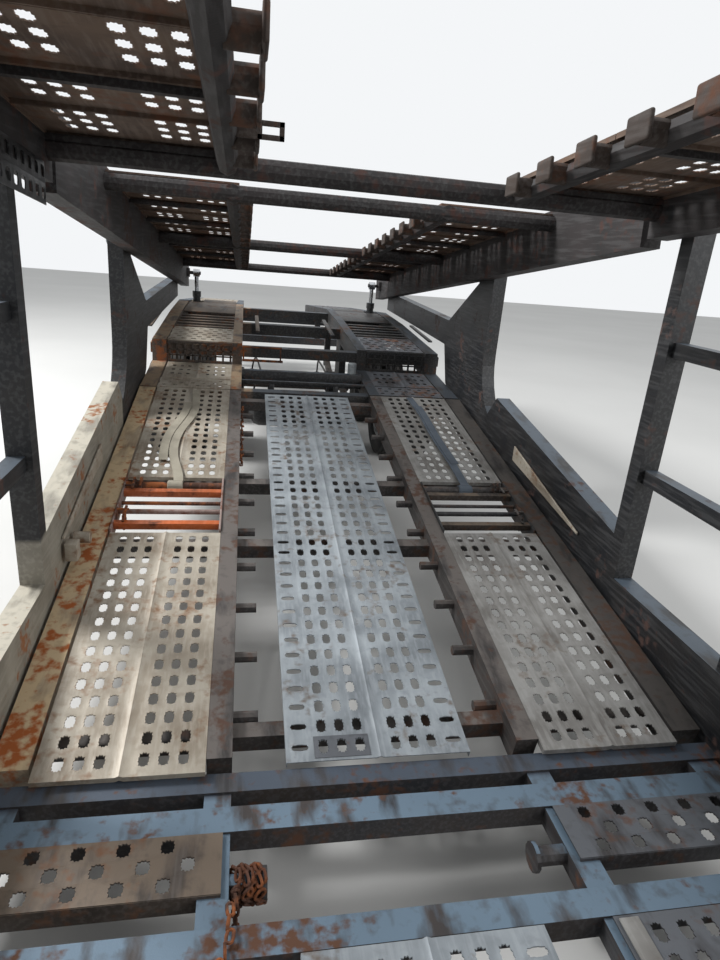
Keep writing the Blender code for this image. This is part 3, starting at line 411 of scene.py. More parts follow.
def pick(obj, kind, wanted):
    """Selects the vertices or edges whose middle, and the element itself, pass the test."""
    shape = bmesh.from_edit_mesh(obj.data)
    for part in shape.verts if kind == "VERT" else shape.edges:
        middle = part.co if kind == "VERT" else (part.verts[0].co + part.verts[1].co) / 2
        part.select_set(bool(wanted(middle, part)))
    bmesh.update_edit_mesh(obj.data)


def modify(obj, kind, **settings):
    select_only(obj)
    modifier = obj.modifiers.new("step", kind)
    for name, value in settings.items():
        setattr(modifier, name, value)
    bpy.ops.object.modifier_apply(modifier="step")
    return obj


def repeated(obj, count, step):
    """The same piece again and again, a fixed step apart, with touching borders merged."""
    return modify(
        obj, "ARRAY", count=count, use_relative_offset=False, use_constant_offset=True,
        constant_offset_displace=step, use_merge_vertices=True, merge_threshold=0.0004,
    )


def on_all(obj, operator, **settings):
    """Runs one of Blender's mesh operators on the whole piece."""
    edit(obj)
    bpy.ops.mesh.select_all(action="SELECT")
    operator(**settings)
    leave_edit()
    return obj


def outward(obj):
    return on_all(obj, bpy.ops.mesh.normals_make_consistent, inside=False)


SHEET = 0.004  # thickness of a plate


def thicken(obj, thick=SHEET):
    """Gives a sheet its thickness, downward from its face."""
    return modify(obj, "SOLIDIFY", thickness=thick, offset=-1, use_even_offset=False)


def join(*objects):
    select_only(*objects)
    if len(objects) > 1:
        bpy.ops.object.join()
    return bpy.context.object


def apply_all(obj):
    """Writes an object's place, turn and scale into its mesh."""
    select_only(obj)
    bpy.ops.object.transform_apply(location=True, rotation=True, scale=True)
    return obj


def placed(obj, place, turn=(0, 0, 0)):
    """Puts a piece, made about the origin, in its place and turns it. Its object ends at the origin."""
    obj.location = place
    obj.rotation_euler = turn
    return apply_all(obj)


def set_down(obj, place, tilt=0.0):
    """Puts a piece in its place and tilts it about X."""
    return placed(obj, place, (tilt, 0, 0))


def copy_of(obj):
    select_only(obj)
    bpy.ops.object.duplicate(linked=False)
    return bpy.context.object


def mirror_of(obj):
    """A copy on the other side of the trailer."""
    made = copy_of(obj)
    made.data.transform(Matrix.Scale(-1, 4, (1, 0, 0)))
    return outward(made)


def for_side(obj, side):
    """The piece itself on the right side, and its mirror image in its stead on the left."""
    if side > 0:
        return obj
    made = mirror_of(obj)
    bpy.data.objects.remove(obj)
    return made


def piece(shape, name, finish, body="chassis", replaces=None, smooth=30):
    """Names a finished shape, or a list of its parts, gives it its finish and puts it on its body."""
    obj = join(*shape) if isinstance(shape, list) else shape
    obj.name = name
    obj.data.name = name
    obj.data.materials.clear()
    obj.data.materials.append(FINISHES[finish])
    apply_all(obj)
    bpy.ops.object.shade_smooth_by_angle(angle=math.radians(smooth))
    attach(obj, body)
    if replaces:
        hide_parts(replaces)
    return obj


def span(middle, half):
    """The low and the high end of a stretch, from its middle."""
    return middle - half, middle + half


def bar(x, y, z, ease=0.003):
    """A rolled bar between three (low, high) pairs, with eased edges."""
    bpy.ops.mesh.primitive_cube_add(size=1, location=[(a + b) / 2 for a, b in (x, y, z)])
    obj = bpy.context.object
    obj.scale = [abs(b - a) for a, b in (x, y, z)]
    apply_all(obj)
    if ease:
        modify(obj, "BEVEL", width=ease, segments=2, limit_method="NONE")
    return obj


def tube(start, end, radius, sides=16, ease=0.002):
    """A round bar or pipe between two points, with eased ends."""
    start, end = Vector(start), Vector(end)
    along = end - start
    turn = along.to_track_quat("Z", "Y").to_euler()
    bpy.ops.mesh.primitive_cylinder_add(
        vertices=sides, radius=radius, depth=along.length, location=(start + end) / 2, rotation=turn
    )
    obj = apply_all(bpy.context.object)
    if ease:
        modify(obj, "BEVEL", width=ease, segments=1, limit_method="ANGLE", angle_limit=math.radians(60))
    return obj


# %% [markdown]
# ## One punched hole
# A press punches each hole and turns its rim up with small teeth, so that tyres grip. It could be cut with
# Booleans, but hundreds of them are slow and leave ragged meshes. Here one field of the plate is made: a
# square border, a toothed ring and a bridge between them. Arrays repeat the field, and its borders merge.

# %% One field of a plate
HOLE_POINTS = 24
RIM_UP = 0.0022  # m that the teeth stand over the plate
CORNER_FROM = 0.30  # of the hole's size, from where a point belongs to a corner
CORNER_OUT = 1.16  # makes the round hole squarer
EDGE_NEAR = 1e-4  # m, so near a place counts as at the edge


def hole_field(pitch, hole, teeth=0.86):
    """A field of pitch (x, y) with a toothed hole of size (x, y) in its middle."""
    cuts = HOLE_POINTS // 4
    bpy.ops.mesh.primitive_grid_add(x_subdivisions=cuts, y_subdivisions=cuts, size=1)
    field = bpy.context.object
    field.scale = (pitch[0], pitch[1], 1)
    bpy.ops.object.transform_apply(scale=True)
    edit(field, "VERT")
    edge_x, edge_y = pitch[0] / 2 - 1e-5, pitch[1] / 2 - 1e-5
    bpy.ops.mesh.select_all(action="SELECT")
    bpy.ops.mesh.delete(type="ONLY_FACE")
    pick(field, "VERT", lambda at, v: abs(at.x) < edge_x and abs(at.y) < edge_y)
    bpy.ops.mesh.delete(type="VERT")
    bpy.ops.mesh.primitive_circle_add(vertices=HOLE_POINTS, radius=0.5)
    bpy.ops.transform.resize(value=(hole[0], hole[1], 1))

    def inside(at, v):
        return abs(at.x) < hole[0] * 0.6 and abs(at.y) < hole[1] * 0.6

    def at_corner(at, v):
        return inside(at, v) and abs(at.x) > hole[0] * CORNER_FROM and abs(at.y) > hole[1] * CORNER_FROM

    def every_other(at, v):
        turn = round(math.atan2(at.y / hole[1], at.x / hole[0]) / (2 * math.pi) * HOLE_POINTS)
        return inside(at, v) and turn % 2 == 0

    pick(field, "VERT", at_corner)
    bpy.ops.transform.resize(value=(CORNER_OUT, CORNER_OUT, 1))
    pick(field, "VERT", every_other)
    bpy.ops.transform.resize(value=(teeth, teeth, 1))
    pick(field, "VERT", inside)
    bpy.ops.transform.translate(value=(0, 0, RIM_UP))
    bpy.ops.mesh.select_mode(type="EDGE")
    bpy.ops.mesh.select_all(action="SELECT")
    bpy.ops.mesh.bridge_edge_loops()
    leave_edit()
    return outward(field)


def row_of_holes(count, pitch, hole, middle=(0, 0), teeth=0.86, axis=0):
    """Fields side by side along an axis, 0 across or 1 lengthwise, with their middle at a place (x, y)."""
    step, place = [0, 0, 0], [*middle, 0]
    step[axis] = pitch[axis]
    place[axis] -= (count - 1) / 2 * pitch[axis]
    return placed(repeated(hole_field(pitch, hole, teeth), count, step), place)


# %% [markdown]
# ## A punched plate
# Each runway plate has two bands of holes, one under each edge of a tyre, with a plain strip and a pressed
# ridge between them. Its sides and ends are folded down. Only one band is made: it is grown by extruding its
# border edges, and a Mirror gives the other half. A Solidify gives the sheet its thickness.


# %% Grow a plate from its field
def grow(obj, wanted, shift):
    """Extrudes the border edges that pass the test."""
    edit(obj, "EDGE")
    pick(obj, "EDGE", lambda at, e: e.is_boundary and wanted(at))
    bpy.ops.mesh.extrude_region_move(TRANSFORM_OT_translate={"value": shift})
    leave_edit()


def punched_plate(columns, rows, pitch, hole, width, length, middle, ridge=0.006, fold=0.02):
    """A plate of two bands, centred on the origin, with its top at z = 0."""
    band_middle = (middle + columns / 2 * pitch[0], -(rows - 1) * pitch[1] / 2)
    plate = row_of_holes(columns, pitch, hole, band_middle)
    repeated(plate, rows, (0, pitch[1], 0))
    band_end = middle + columns * pitch[0]
    half_rows = rows * pitch[1] / 2
    grow(plate, lambda at: at.x > band_end - EDGE_NEAR, (width / 2 - band_end, 0, 0))
    foot = ridge * 2
    grow(plate, lambda at: at.x < middle + EDGE_NEAR, (foot - middle, 0, 0))
    if ridge:
        grow(plate, lambda at: at.x < foot + EDGE_NEAR, (-foot, 0, ridge))
    ends = length / 2 - half_rows
    if ends > 0.001:
        for sign in (1, -1):
            grow(plate, lambda at: at.y * sign > half_rows - EDGE_NEAR, (0, sign * ends, 0))
    if fold:
        edge_x, edge_y = width / 2 - EDGE_NEAR, length / 2 - EDGE_NEAR
        grow(plate, lambda at: at.x > edge_x or abs(at.y) > edge_y, (0, 0, -fold))
    modify(plate, "MIRROR", use_axis=(True, False, False), use_clip=True, merge_threshold=0.0005)
    on_all(plate, bpy.ops.mesh.remove_doubles, threshold=0.0003)
    outward(plate)
    if sum(p.normal.z * p.area for p in plate.data.polygons) < 0:
        on_all(plate, bpy.ops.mesh.flip_normals)
    return thicken(plate)


# %% [markdown]
# ## Runway plates of the climbing deck
# Four plates carry the tyres, and a wider one closes the middle. They all lie on the slope, so each is made
# flat about the origin, then tilted and set down in one move.

# %% Plates on the slope
SIDES = (("left", -1), ("right", 1))
# The left plates wear a painted sunlit warmth; the right ones the plain galvanised grey.
PLATE_FINISH = {"left": "galvanised_plate_painted_sun", "right": "galvanised_plate_grey"}
SLOPE_FOOT = Vector((0, -1.61, 0.30))
SLOPE = math.radians(9.6)
SLOPE_LENGTH = 3.11 / math.cos(SLOPE)
PLATE_X = 0.8142  # middle of a runway from the middle line
PLATE_W = 0.507
PLATE_HOLE = (0.036, 0.055)
PLATE_ROWS = 16
PLATE_MARGIN = 0.017  # plain sheet before the first and after the last row
NEAR = (0.004, 1.31)
FAR = (SLOPE_LENGTH - 1.31, SLOPE_LENGTH)
SHEET_UP = -0.0005  # the sheets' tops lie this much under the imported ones


def on_slope(x, along, up):
    """A point of the climbing deck: across, along the slope and square to it."""
    c, s = math.cos(SLOPE), math.sin(SLOPE)
    return SLOPE_FOOT + Vector((x, along * c - up * s, along * s + up * c))


for place, (start, end) in (("near", NEAR), ("far", FAR)):
    for side_name, side in SIDES:
        pitch = (0.060, (end - start - 2 * PLATE_MARGIN) / PLATE_ROWS)
        plate = punched_plate(3, PLATE_ROWS, pitch, PLATE_HOLE, PLATE_W, end - start, middle=0.035)
        set_down(plate, on_slope(side * PLATE_X, (start + end) / 2, SHEET_UP), SLOPE)
        node_name = f"runway_{place}_{side_name}"
        piece(plate, f"punched_{node_name}", PLATE_FINISH[side_name], replaces=node_name)
print("four runway plates")

# %% Centre plates
CENTRE_W = 0.618
SLOT_PITCH = 0.0835
COLUMN_PITCH = 0.062
MIDDLE = 0.030
CENTRE_HOLE = (0.036, 0.058)
CROSS_PITCH = 0.093
CROSS_HOLE = (0.058, 0.026)
CENTRE_FOLD = 0.022


def centre_plate(rows, length):
    """Two bands of holes with a column of cross slots beside each, centred on the origin."""
    band_w = MIDDLE + 3 * COLUMN_PITCH
    pitch = (COLUMN_PITCH, SLOT_PITCH)
    plate = punched_plate(3, rows, pitch, CENTRE_HOLE, 2 * band_w, length, MIDDLE, fold=0)
    half = rows / 2 * SLOT_PITCH
    slots = []
    for side in (-1, 1):
        place = (side * (band_w + CROSS_PITCH / 2), 0)
        column = row_of_holes(rows, (CROSS_PITCH, SLOT_PITCH), CROSS_HOLE, place, 0.95, axis=1)
        for sign in (-1, 1):
            grow(column, lambda at: at.y * sign > half - EDGE_NEAR, (0, sign * (length / 2 - half), 0))
        grow(column, lambda at: abs(at.x) > CENTRE_W / 2 - EDGE_NEAR, (0, 0, -CENTRE_FOLD))
        slots.append(thicken(column))
    return join(plate, *slots)


CENTRE_ALONG = (0.030, 3.14)
CENTRE_UP = -0.0167
CENTRE_ROWS = 37
PATCH_UP = 0.0018
middle_along = sum(CENTRE_ALONG) / 2
centre = centre_plate(CENTRE_ROWS, CENTRE_ALONG[1] - CENTRE_ALONG[0])
set_down(centre, on_slope(0, middle_along, CENTRE_UP), SLOPE)
# The centre plate wears the galvanised grey with a painted blue shade.
piece(centre, "punched_centre_panel", "galvanised_plate_painted_shade", replaces="centre_panel")
print("centre plate:", len(centre.data.polygons), "faces")

patch = thicken(row_of_holes(3, (COLUMN_PITCH, SLOT_PITCH), CENTRE_HOLE), 0.0012)
first_row = middle_along - (CENTRE_ROWS - 1) / 2 * SLOT_PITCH
set_down(patch, on_slope(-MIDDLE - 1.5 * COLUMN_PITCH, first_row, CENTRE_UP + PATCH_UP), SLOPE)
piece(patch, "repair_patch", "dark_punched_plate")

# %% [markdown]
# ## Plates of the low bay
# The low bay's floor lies a little lower, on its own cross beams. Its centre plate is pressed with the same
# tool as the one on the slope. The two short steps ahead of the slope have holes in staggered rows.

# %% Bay floor and steps
BAY_Y = (-4.04, -2.16)
BAY_TOP = 0.2746
BAY_FINISH = {"left": "brown_punched_plate", "right": "dark_punched_plate"}
FLOOR_X = 0.835
FLOOR_W = 0.67
STEP_Y = (-1.99, -1.806)
STEP_X = 0.8475
STEP_W = 0.695


def staggered_plate(count, rows, pitch, hole, width, length, fold):
    """A plate whose rows are shifted by half a step, centred on the origin."""
    strips = []
    margin = length / 2 - rows / 2 * pitch[1]
    for row in range(rows):
        shift = pitch[0] / 4 * (1 if row % 2 else -1)
        low, high = span(shift, count / 2 * pitch[0])
        strip = row_of_holes(count, pitch, hole, (shift, (row - (rows - 1) / 2) * pitch[1]))
        grow(strip, lambda at: at.x < low + EDGE_NEAR, (-width / 2 - low, 0, 0))
        grow(strip, lambda at: at.x > high - EDGE_NEAR, (width / 2 - high, 0, 0))
        for end_row, sign in ((0, -1), (rows - 1, 1)):
            if margin > 0.001 and row == end_row:
                edge = rows / 2 * pitch[1] - EDGE_NEAR
                grow(strip, lambda at: at.y * sign > edge, (0, sign * margin, 0))
        if fold:
            edge_x, edge_y = width / 2 - EDGE_NEAR, length / 2 - EDGE_NEAR
            grow(strip, lambda at: abs(at.x) > edge_x or abs(at.y) > edge_y, (0, 0, -fold))
        strips.append(thicken(strip))
    return join(*strips)


bay_middle, bay_length = sum(BAY_Y) / 2, BAY_Y[1] - BAY_Y[0]
bay = set_down(centre_plate(22, bay_length), (0, bay_middle, BAY_TOP + SHEET_UP))
# The bay's centre plate wears the galvanised grey with a painted blue shade.
piece(bay, "punched_bay_centre", "galvanised_plate_painted_shade", replaces="bay_centre")
for side_name, side in SIDES:
    plate = punched_plate(3, 24, (0.074, 0.077), PLATE_HOLE, FLOOR_W, bay_length, middle=0.05, fold=0)
    set_down(plate, (side * FLOOR_X, bay_middle, BAY_TOP + SHEET_UP))
    step = staggered_plate(5, 3, (0.115, 0.057), (0.040, 0.046), STEP_W, STEP_Y[1] - STEP_Y[0], 0)
    set_down(step, (side * STEP_X, sum(STEP_Y) / 2, BAY_TOP + SHEET_UP))
    lip = bar(span(side * STEP_X, STEP_W / 2), (STEP_Y[0] - 0.002, STEP_Y[0] + 0.003), (0.215, 0.272), 0.002)
    for made, name in ((plate, "bay_floor"), ([step, lip], "front_step")):
        node_name = f"{name}_{side_name}"
        piece(made, f"punched_{node_name}", BAY_FINISH[side_name], replaces=node_name)
print("low bay: centre plate, two floors, two steps")

# %% [markdown]
# ## Strap winches
# Between the near and far plates each side has a well with the strap winches: flat cheeks, orange angle bars
# across, a roller that the strap winds on, a pipe, and toothed ratchet wheels with their pawls at the outer
# end. The right one is dark with rust and still has a turn of webbing on its roller.

# %% Winch bays
WINCH = (1.325, 1.829)  # along the slope
WINCH_X = (0.5605, 1.0755)
WINCH_FINISH = {
    "left": ("pink_grey_primer", "orange_enamel", "rusted_chain_iron"),
    "right": ("scuffed_black_plate", "brown_punched_plate", "brown_worn_beam"),
}
STRAP_FINISH = {"left": "woven_webbing", "right": "dark_webbing"}
ROLLER_UP = -0.015


def toothed_wheel(radius, thick, teeth, place):
    """A ratchet wheel with its axis along X."""
    bpy.ops.mesh.primitive_cylinder_add(vertices=teeth * 2, radius=radius, depth=thick)
    wheel = placed(bpy.context.object, (0, 0, 0), (0, math.pi / 2, 0))
    edit(wheel, "VERT")
    pick(wheel, "VERT", lambda at, v: round(math.atan2(at.z, at.y) / (math.pi / teeth)) % 2 == 0)
    bpy.ops.transform.resize(value=(1, 0.80, 0.80))
    leave_edit()
    return placed(wheel, place)


def angle_bar(x, y, z, wall=0.005):
    """An angle section that lies across: a flat and a lip that hangs from its near edge."""
    flat = bar(x, y, (z - wall, z), 0.001)
    lip = bar(x, (y[0], y[0] + wall), (z - (y[1] - y[0]), z - wall / 2), 0.001)
    return join(flat, lip)


def winch(side):
    """The cheeks, bars, rollers and wound strap of one bay, set down on the slope."""
    low, high = WINCH
    inner, outer = WINCH_X
    between_cheeks = (inner + 0.010, outer - 0.010)

    def roller(along, up, radius, sides):
        return tube((inner + 0.004, along, up), (outer - 0.004, along, up), radius, sides)

    cheeks = [bar((x, x + 0.010), (low, high), (-0.050, 0.010)) for x in (inner, outer - 0.010)]
    cheeks.append(tube((inner + 0.01, low + 0.20, -0.020), (outer - 0.01, low + 0.20, -0.020), 0.013))
    bars = [angle_bar(between_cheeks, (at, at + 0.034), 0.006) for at in (low + 0.05, high - 0.15)]
    bars.append(bar(between_cheeks, (low + 0.10, low + 0.135), (-0.048, -0.042)))
    moving = [roller(high - 0.06, ROLLER_UP, 0.024, 20), roller(low + 0.29, -0.026, 0.010, 12)]
    for at, x in ((high - 0.06, outer - 0.052), (high - 0.06, outer - 0.085), (low + 0.10, outer - 0.052)):
        moving.append(toothed_wheel(0.046, 0.010, 11, (x, at, -0.010)))
    for at in (high - 0.115, low + 0.155):
        moving.append(bar((outer - 0.060, outer - 0.046), span(at, 0.03), (0.018, 0.028)))
        moving.append(tube((outer - 0.070, at, 0.022), (outer - 0.012, at, 0.022), 0.006, 10))
    wound = tube((0.775, high - 0.06, ROLLER_UP), (0.855, high - 0.06, ROLLER_UP), 0.034, 24, 0.004)
    groups = join(*cheeks), join(*bars), join(*moving), wound
    return [set_down(for_side(group, side), SLOPE_FOOT, SLOPE) for group in groups]


for side_name, side in SIDES:
    cheeks, bars, rollers, wound = winch(side)
    of_cheeks, of_bars, of_rollers = WINCH_FINISH[side_name]
    node_name = f"strap_winch_{side_name}"
    piece(cheeks, f"winch_cheeks_{side_name}", of_cheeks, replaces=node_name)
    piece(bars, f"winch_bars_{side_name}", of_bars)
    piece(rollers, f"winch_rollers_{side_name}", of_rollers)
    piece(wound, f"strap_on_roller_{side_name}", STRAP_FINISH[side_name])
print("two winch bays")

# %% [markdown]
# ## Straps on the far plates
# A strap lies loose along each far plate, the left one in a lazy S. Webbing is flat: 50 mm wide and about
# 3 mm thick. A curve gives its line, the curve's extrusion the width, and a Solidify the thickness.

# %% Straps
STRAP_WIDTH = 0.050
STRAP_THICK = 0.003
STRAP_UP = 0.0105  # over the plate, clear of its ridge and of the teeth
FOLD_UP = 0.0035  # of the second layer over the first
FOLD_ASIDE = {"left": 0.055, "right": 0.012}


def smooth_line(points, order):
    """A smooth curve by its points."""
    bpy.ops.curve.primitive_nurbs_path_add(radius=1)
    line = bpy.context.object
    spline = line.data.splines[0]
    spline.points.add(len(points) - len(spline.points))
    for point, place in zip(spline.points, points):
        point.co = (*place, 1.0)
    spline.use_endpoint_u = True
    spline.order_u = order
    return line, spline


def to_mesh(line):
    select_only(line)
    bpy.ops.object.convert(target="MESH")
    return bpy.context.object


def ribbon(points):
    """Flat webbing along a smooth line; its width lies level."""
    line, spline = smooth_line(points, 4)
    for point in spline.points:
        point.tilt = math.pi / 2
    spline.resolution_u = 6
    line.data.twist_mode = "Z_UP"
    line.data.extrude = STRAP_WIDTH / 2
    return modify(to_mesh(line), "SOLIDIFY", thickness=STRAP_THICK, offset=0)


STRAP_PATHS = {  # across, along the slope, height over the plate
    "left": (
        (0.800, 1.775, 0.018), (0.803, 1.86, 0.014), (0.850, 2.02, STRAP_UP), (0.872, 2.25, STRAP_UP),
        (0.840, 2.48, STRAP_UP), (0.780, 2.66, STRAP_UP), (0.772, 2.86, STRAP_UP), (0.800, 3.10, STRAP_UP),
    ),
    "right": (
        (0.815, 1.775, 0.018), (0.818, 1.86, 0.014), (0.822, 2.05, STRAP_UP), (0.806, 2.30, STRAP_UP),
        (0.798, 2.55, STRAP_UP), (0.808, 2.78, STRAP_UP), (0.796, 2.95, STRAP_UP), (0.780, 3.12, STRAP_UP),
    ),
}
for side_name, side in SIDES:
    path = [(side * x, along, up) for x, along, up in STRAP_PATHS[side_name]]
    aside = side * FOLD_ASIDE[side_name]
    fold = [(x + aside, along, up + FOLD_UP) for x, along, up in path[2:7]]
    strap = set_down(join(ribbon(path), ribbon(fold)), SLOPE_FOOT, SLOPE)
    node_name = f"strap_{side_name}"
    piece(strap, f"loose_{node_name}", STRAP_FINISH[side_name], replaces=node_name)
    length = sum((Vector(a) - Vector(b)).length for a, b in zip(path, path[1:]))
    print(f"{side_name} strap: {length:.2f} m")

# %% [markdown]
# ## Runways over the axles
# Behind the slope the runway goes on in short pieces: a strip with staggered holes, a plate with two blocks
# of nine holes, then a step up over the axles with a lattice front, a punched plate, open slats with round
# bars, a dark closed plate, and two long punched plates that fall to the tail.

# %% Rear runways
SLAT = (-0.012, 0)  # from a slat's underside to its top
LATTICE_BARS = 9
FOLD = 0.018  # of the plates' edges
REAR_STRETCHES = (  # start y and z, end y and z
    ((1.5250, 0.8275), (2.1880, 0.8950)),
    ((2.2000, 1.0650), (3.6000, 1.1600)),
    ((3.6000, 1.1600), (4.5000, 1.1900)),
    ((4.5000, 1.1900), (7.2000, 1.0068)),
)
# The left rear plates wear the painted sunlit warmth.
LIGHT_FINISH = {"left": "galvanised_plate_painted_sun", "right": "dark_punched_plate"}
DARK_FINISH = {"left": "brown_punched_plate", "right": "scuffed_black_plate"}


def lay(obj, stretch, along, side, across=PLATE_X):
    """Sets a flat piece, made about its middle, on one stretch of the rear runway."""
    (y0, z0), (y1, z1) = REAR_STRETCHES[stretch]
    tilt = math.atan2(z1 - z0, y1 - y0)
    c, s = math.cos(tilt), math.sin(tilt)
    return set_down(obj, (side * across, y0 + along * c - SHEET_UP * s, z0 + along * s + SHEET_UP), tilt)


def rear_run(side):
    """All pieces of one side, as a light group and a dark group."""
    full = span(0, PLATE_W / 2)
    nine_holes = punched_plate(3, 3, (0.058, 0.105), (0.034, 0.046), PLATE_W, 0.42, 0.045, fold=FOLD)
    light = [
        lay(staggered_plate(6, 3, (0.080, 0.060), (0.034, 0.024), PLATE_W, 0.215, 0.015), 0, 0.110, side),
        lay(nine_holes, 0, 0.445, side),
        lay(staggered_plate(6, 6, (0.080, 0.085), (0.050, 0.036), PLATE_W, 0.560, FOLD), 1, 0.300, side),
    ]
    for along in (0.785, 2.055):
        plate = punched_plate(3, 15, (0.060, 0.080), PLATE_HOLE, PLATE_W, 1.24, 0.035, fold=FOLD)
        light.append(lay(plate, 3, along, side))
    dark = []
    for index in range(5):
        dark.append(lay(bar(full, span(0, 0.022), SLAT, 0.002), 1, 0.66 + index * 0.135, side))
        pipe = tube((full[0], 0, -0.018), (full[1], 0, -0.018), 0.012, 10)
        dark.append(lay(pipe, 1, 0.725 + index * 0.135, side))
    for across in (-0.235, 0.235):
        rail = bar(span(across, 0.018), span(0, 0.40), (-0.018, -0.002), 0.002)
        dark.append(lay(rail, 1, 0.995, side, PLATE_X + side * across))
    dark.append(lay(bar(full, span(0, 0.39), SLAT), 2, 0.395, side))
    dark.append(lay(bar(span(0, 0.180), span(0, 0.13), SLAT), 2, 0.92, side, 0.742))
    riser = [bar(full, span(0, 0.008), heights, 0.002) for heights in ((0.150, 0.172), (0, 0.022))]
    first = full[0] + 0.012
    for index in range(LATTICE_BARS):
        at = first - 2 * first * index / (LATTICE_BARS - 1)
        riser.append(bar(span(at, 0.008), span(0, 0.004), (0.010, 0.160), 0.001))
    for height in (0.058, 0.104):
        riser.append(bar(full, span(0, 0.004), span(height, 0.006), 0.001))
    dark.append(set_down(join(*riser), (side * PLATE_X, 2.196, 0.890)))
    return join(*light), join(*dark)


for side_name, side in SIDES:
    light, dark = rear_run(side)
    node_name = f"rear_runway_{side_name}"
    piece(light, f"punched_{node_name}", LIGHT_FINISH[side_name], replaces=node_name)
    piece(dark, f"slats_{node_name}", DARK_FINISH[side_name])
print("rear runways")

# %% [markdown]
# ## Chain on the spool
# A tie-down chain is wound on the left spool and has rusted there. One link is a ring that is stretched and
# thickened; copies stand at right angles to each other as they wind round the spool.


# %% Spool chain
def chain_link(radius=0.0045, length=0.042, width=0.026):
    bpy.ops.mesh.primitive_torus_add(
        major_radius=width / 2 - radius, minor_radius=radius, major_segments=12, minor_segments=6
    )
    link = bpy.context.object
    edit(link, "VERT")
    for sign in (-1, 1):
        pick(link, "VERT", lambda at, v: at.y * sign > 1e-5)
        bpy.ops.transform.translate(value=(0, sign * (length - width) / 2, 0))
    leave_edit()
    return link


def chain(name, links):
    """One chain from the (place, turn) of each of its links."""
    first = chain_link()
    made = [placed(copy_of(first), place, turn) for place, turn in links]
    bpy.data.objects.remove(first)
    piece(made, name, "rusted_chain_iron")
    print(f"{name}: {len(made)} links")


SPOOL = Vector((-0.428, -1.939, 0.232))
SPOOL_WIDTH = 0.074
LAYER = 19  # links side by side on the spool
links = []
for turn in range(2 * LAYER):
    around = turn * 0.80
    out = 0.0385 + (0.004 if turn > LAYER + 1 else 0)
    across = (turn % LAYER) / (LAYER - 1) * SPOOL_WIDTH - SPOOL_WIDTH / 2
    place = SPOOL + Vector((across, math.cos(around) * out, math.sin(around) * out))
    links.append((place, (around + math.pi / 2, math.pi / 4 * (1 if turn % 2 else -1), 0)))
for index in range(5):
    place = SPOOL + Vector((-0.034, -0.042, 0.020 - index * 0.031))
    links.append((place, (math.pi / 2, 0, math.pi / 2 * (index % 2) + 0.3)))
chain("rusted_tie_chain", links)

# %% [markdown]
# ## Tie-down stubs and the upper decks' runways
# Every quarter of a metre a short pipe with a flange sticks out of the upper decks' inner tubes. Tie-down
# hooks and chains are pulled over them. The upper decks are rusty. Each bay between two ribs has three rows
# of holes, and seen from below the sky shows through them. One stub and one bay are made, then repeated.

# %% Upper decks
FRONT_PIN = Vector((0, -0.815, 2.07))
REAR_PIN = Vector((0, 1.28, 1.80))
FRONT_TILT = math.radians(-4.9)
REAR_TILT = math.radians(-6.6)
UPPER_X = (0.50, 1.1047)
UPPER_HOLE = (0.040, 0.062)
STUB_X = 0.50  # where the stubs leave the inner tubes
BAY_GAP = 0.004
RUNWAY_MARGIN = 0.05
STUB_STEP = 0.25
FIRST_STUB = 0.14  # from the runway's end
STUB_DOWN = 0.049  # under the plates


def flanged_stub():
    """A pipe along X that ends in an upright flange with rounded corners, inner end at the origin."""
    pipe = tube((0.01, 0, 0), (-0.055, 0, 0), 0.032, 12, 0)
    flange = bar((-0.068, -0.055), (-0.050, 0.050), (-0.030, 0.038), 0)
    modify(flange, "BEVEL", width=0.026, segments=3, limit_method="ANGLE", affect="EDGES")
    return join(pipe, flange)


def upper_runway(low, high, bays, up):
    """Punched sheets of one runway, flat about its deck's pins."""
    step = (high - low - 2 * RUNWAY_MARGIN) / bays
    width = UPPER_X[1] - UPPER_X[0]
    bay = punched_plate(3, 3, (0.060, 0.082), UPPER_HOLE, width, step - BAY_GAP, 0.052, ridge=0, fold=0.015)
    placed(bay, (sum(UPPER_X) / 2, low + RUNWAY_MARGIN + step / 2, up))
    return repeated(bay, bays, (0, step, 0))


for deck, pin, tilt, low, high, bays, up in (
    ("front_deck", FRONT_PIN, FRONT_TILT, -6.465, 0.12, 19, 0.07),
    ("rear_deck", REAR_PIN, REAR_TILT, -1.17, 2.85, 12, 0.18),
):
    for side_name, side in SIDES:
        runway = set_down(for_side(upper_runway(low, high, bays, up), side), pin, tilt)
        node_name = f"{deck}_runway_{side_name}"
        piece(runway, f"punched_{node_name}", "rusted_deck_plate", deck, replaces=node_name)
        count = round((high - low - 2 * RUNWAY_MARGIN) / STUB_STEP)
        stubs = repeated(flanged_stub(), count, (0, STUB_STEP, 0))
        placed(stubs, (STUB_X, low + FIRST_STUB, up - STUB_DOWN))
        stubs = set_down(for_side(stubs, side), pin, tilt)
        piece(stubs, f"tie_stubs_{deck}_{side_name}", "dark_stub_iron", deck)
    print(deck, "runways:", bays, "bays a side,", count, "stubs a side")

# %% [markdown]
# ## A slotted web and a hook
# Under the front deck's left side beam hangs a thin black web with two rows of rounded slots, where chains
# hook in. A bent tab with a slot stands on the left inner tube.

# %% Web under the front deck
WEB_Y = (-2.02, -0.80)
WEB_DROP = (-0.165, -0.035)  # under the pin's height, in the deck's own tilt
WEB_X = 1.1005
web_height = WEB_DROP[1] - WEB_DROP[0]
rows = []
for sign in (-1, 1):
    pitch, place = (0.064, web_height / 2), (0, sign * web_height / 4)
    rows.append(thicken(row_of_holes(19, pitch, (0.040, 0.038), place, teeth=1.0)))
web_place = (-WEB_X, sum(WEB_Y) / 2 - FRONT_PIN.y, sum(WEB_DROP) / 2)
web = placed(join(*rows), web_place, (math.pi / 2, 0, math.pi / 2))
set_down(web, FRONT_PIN, FRONT_TILT)
piece(web, "slotted_web_left", "black_chassis_enamel", "front_deck")

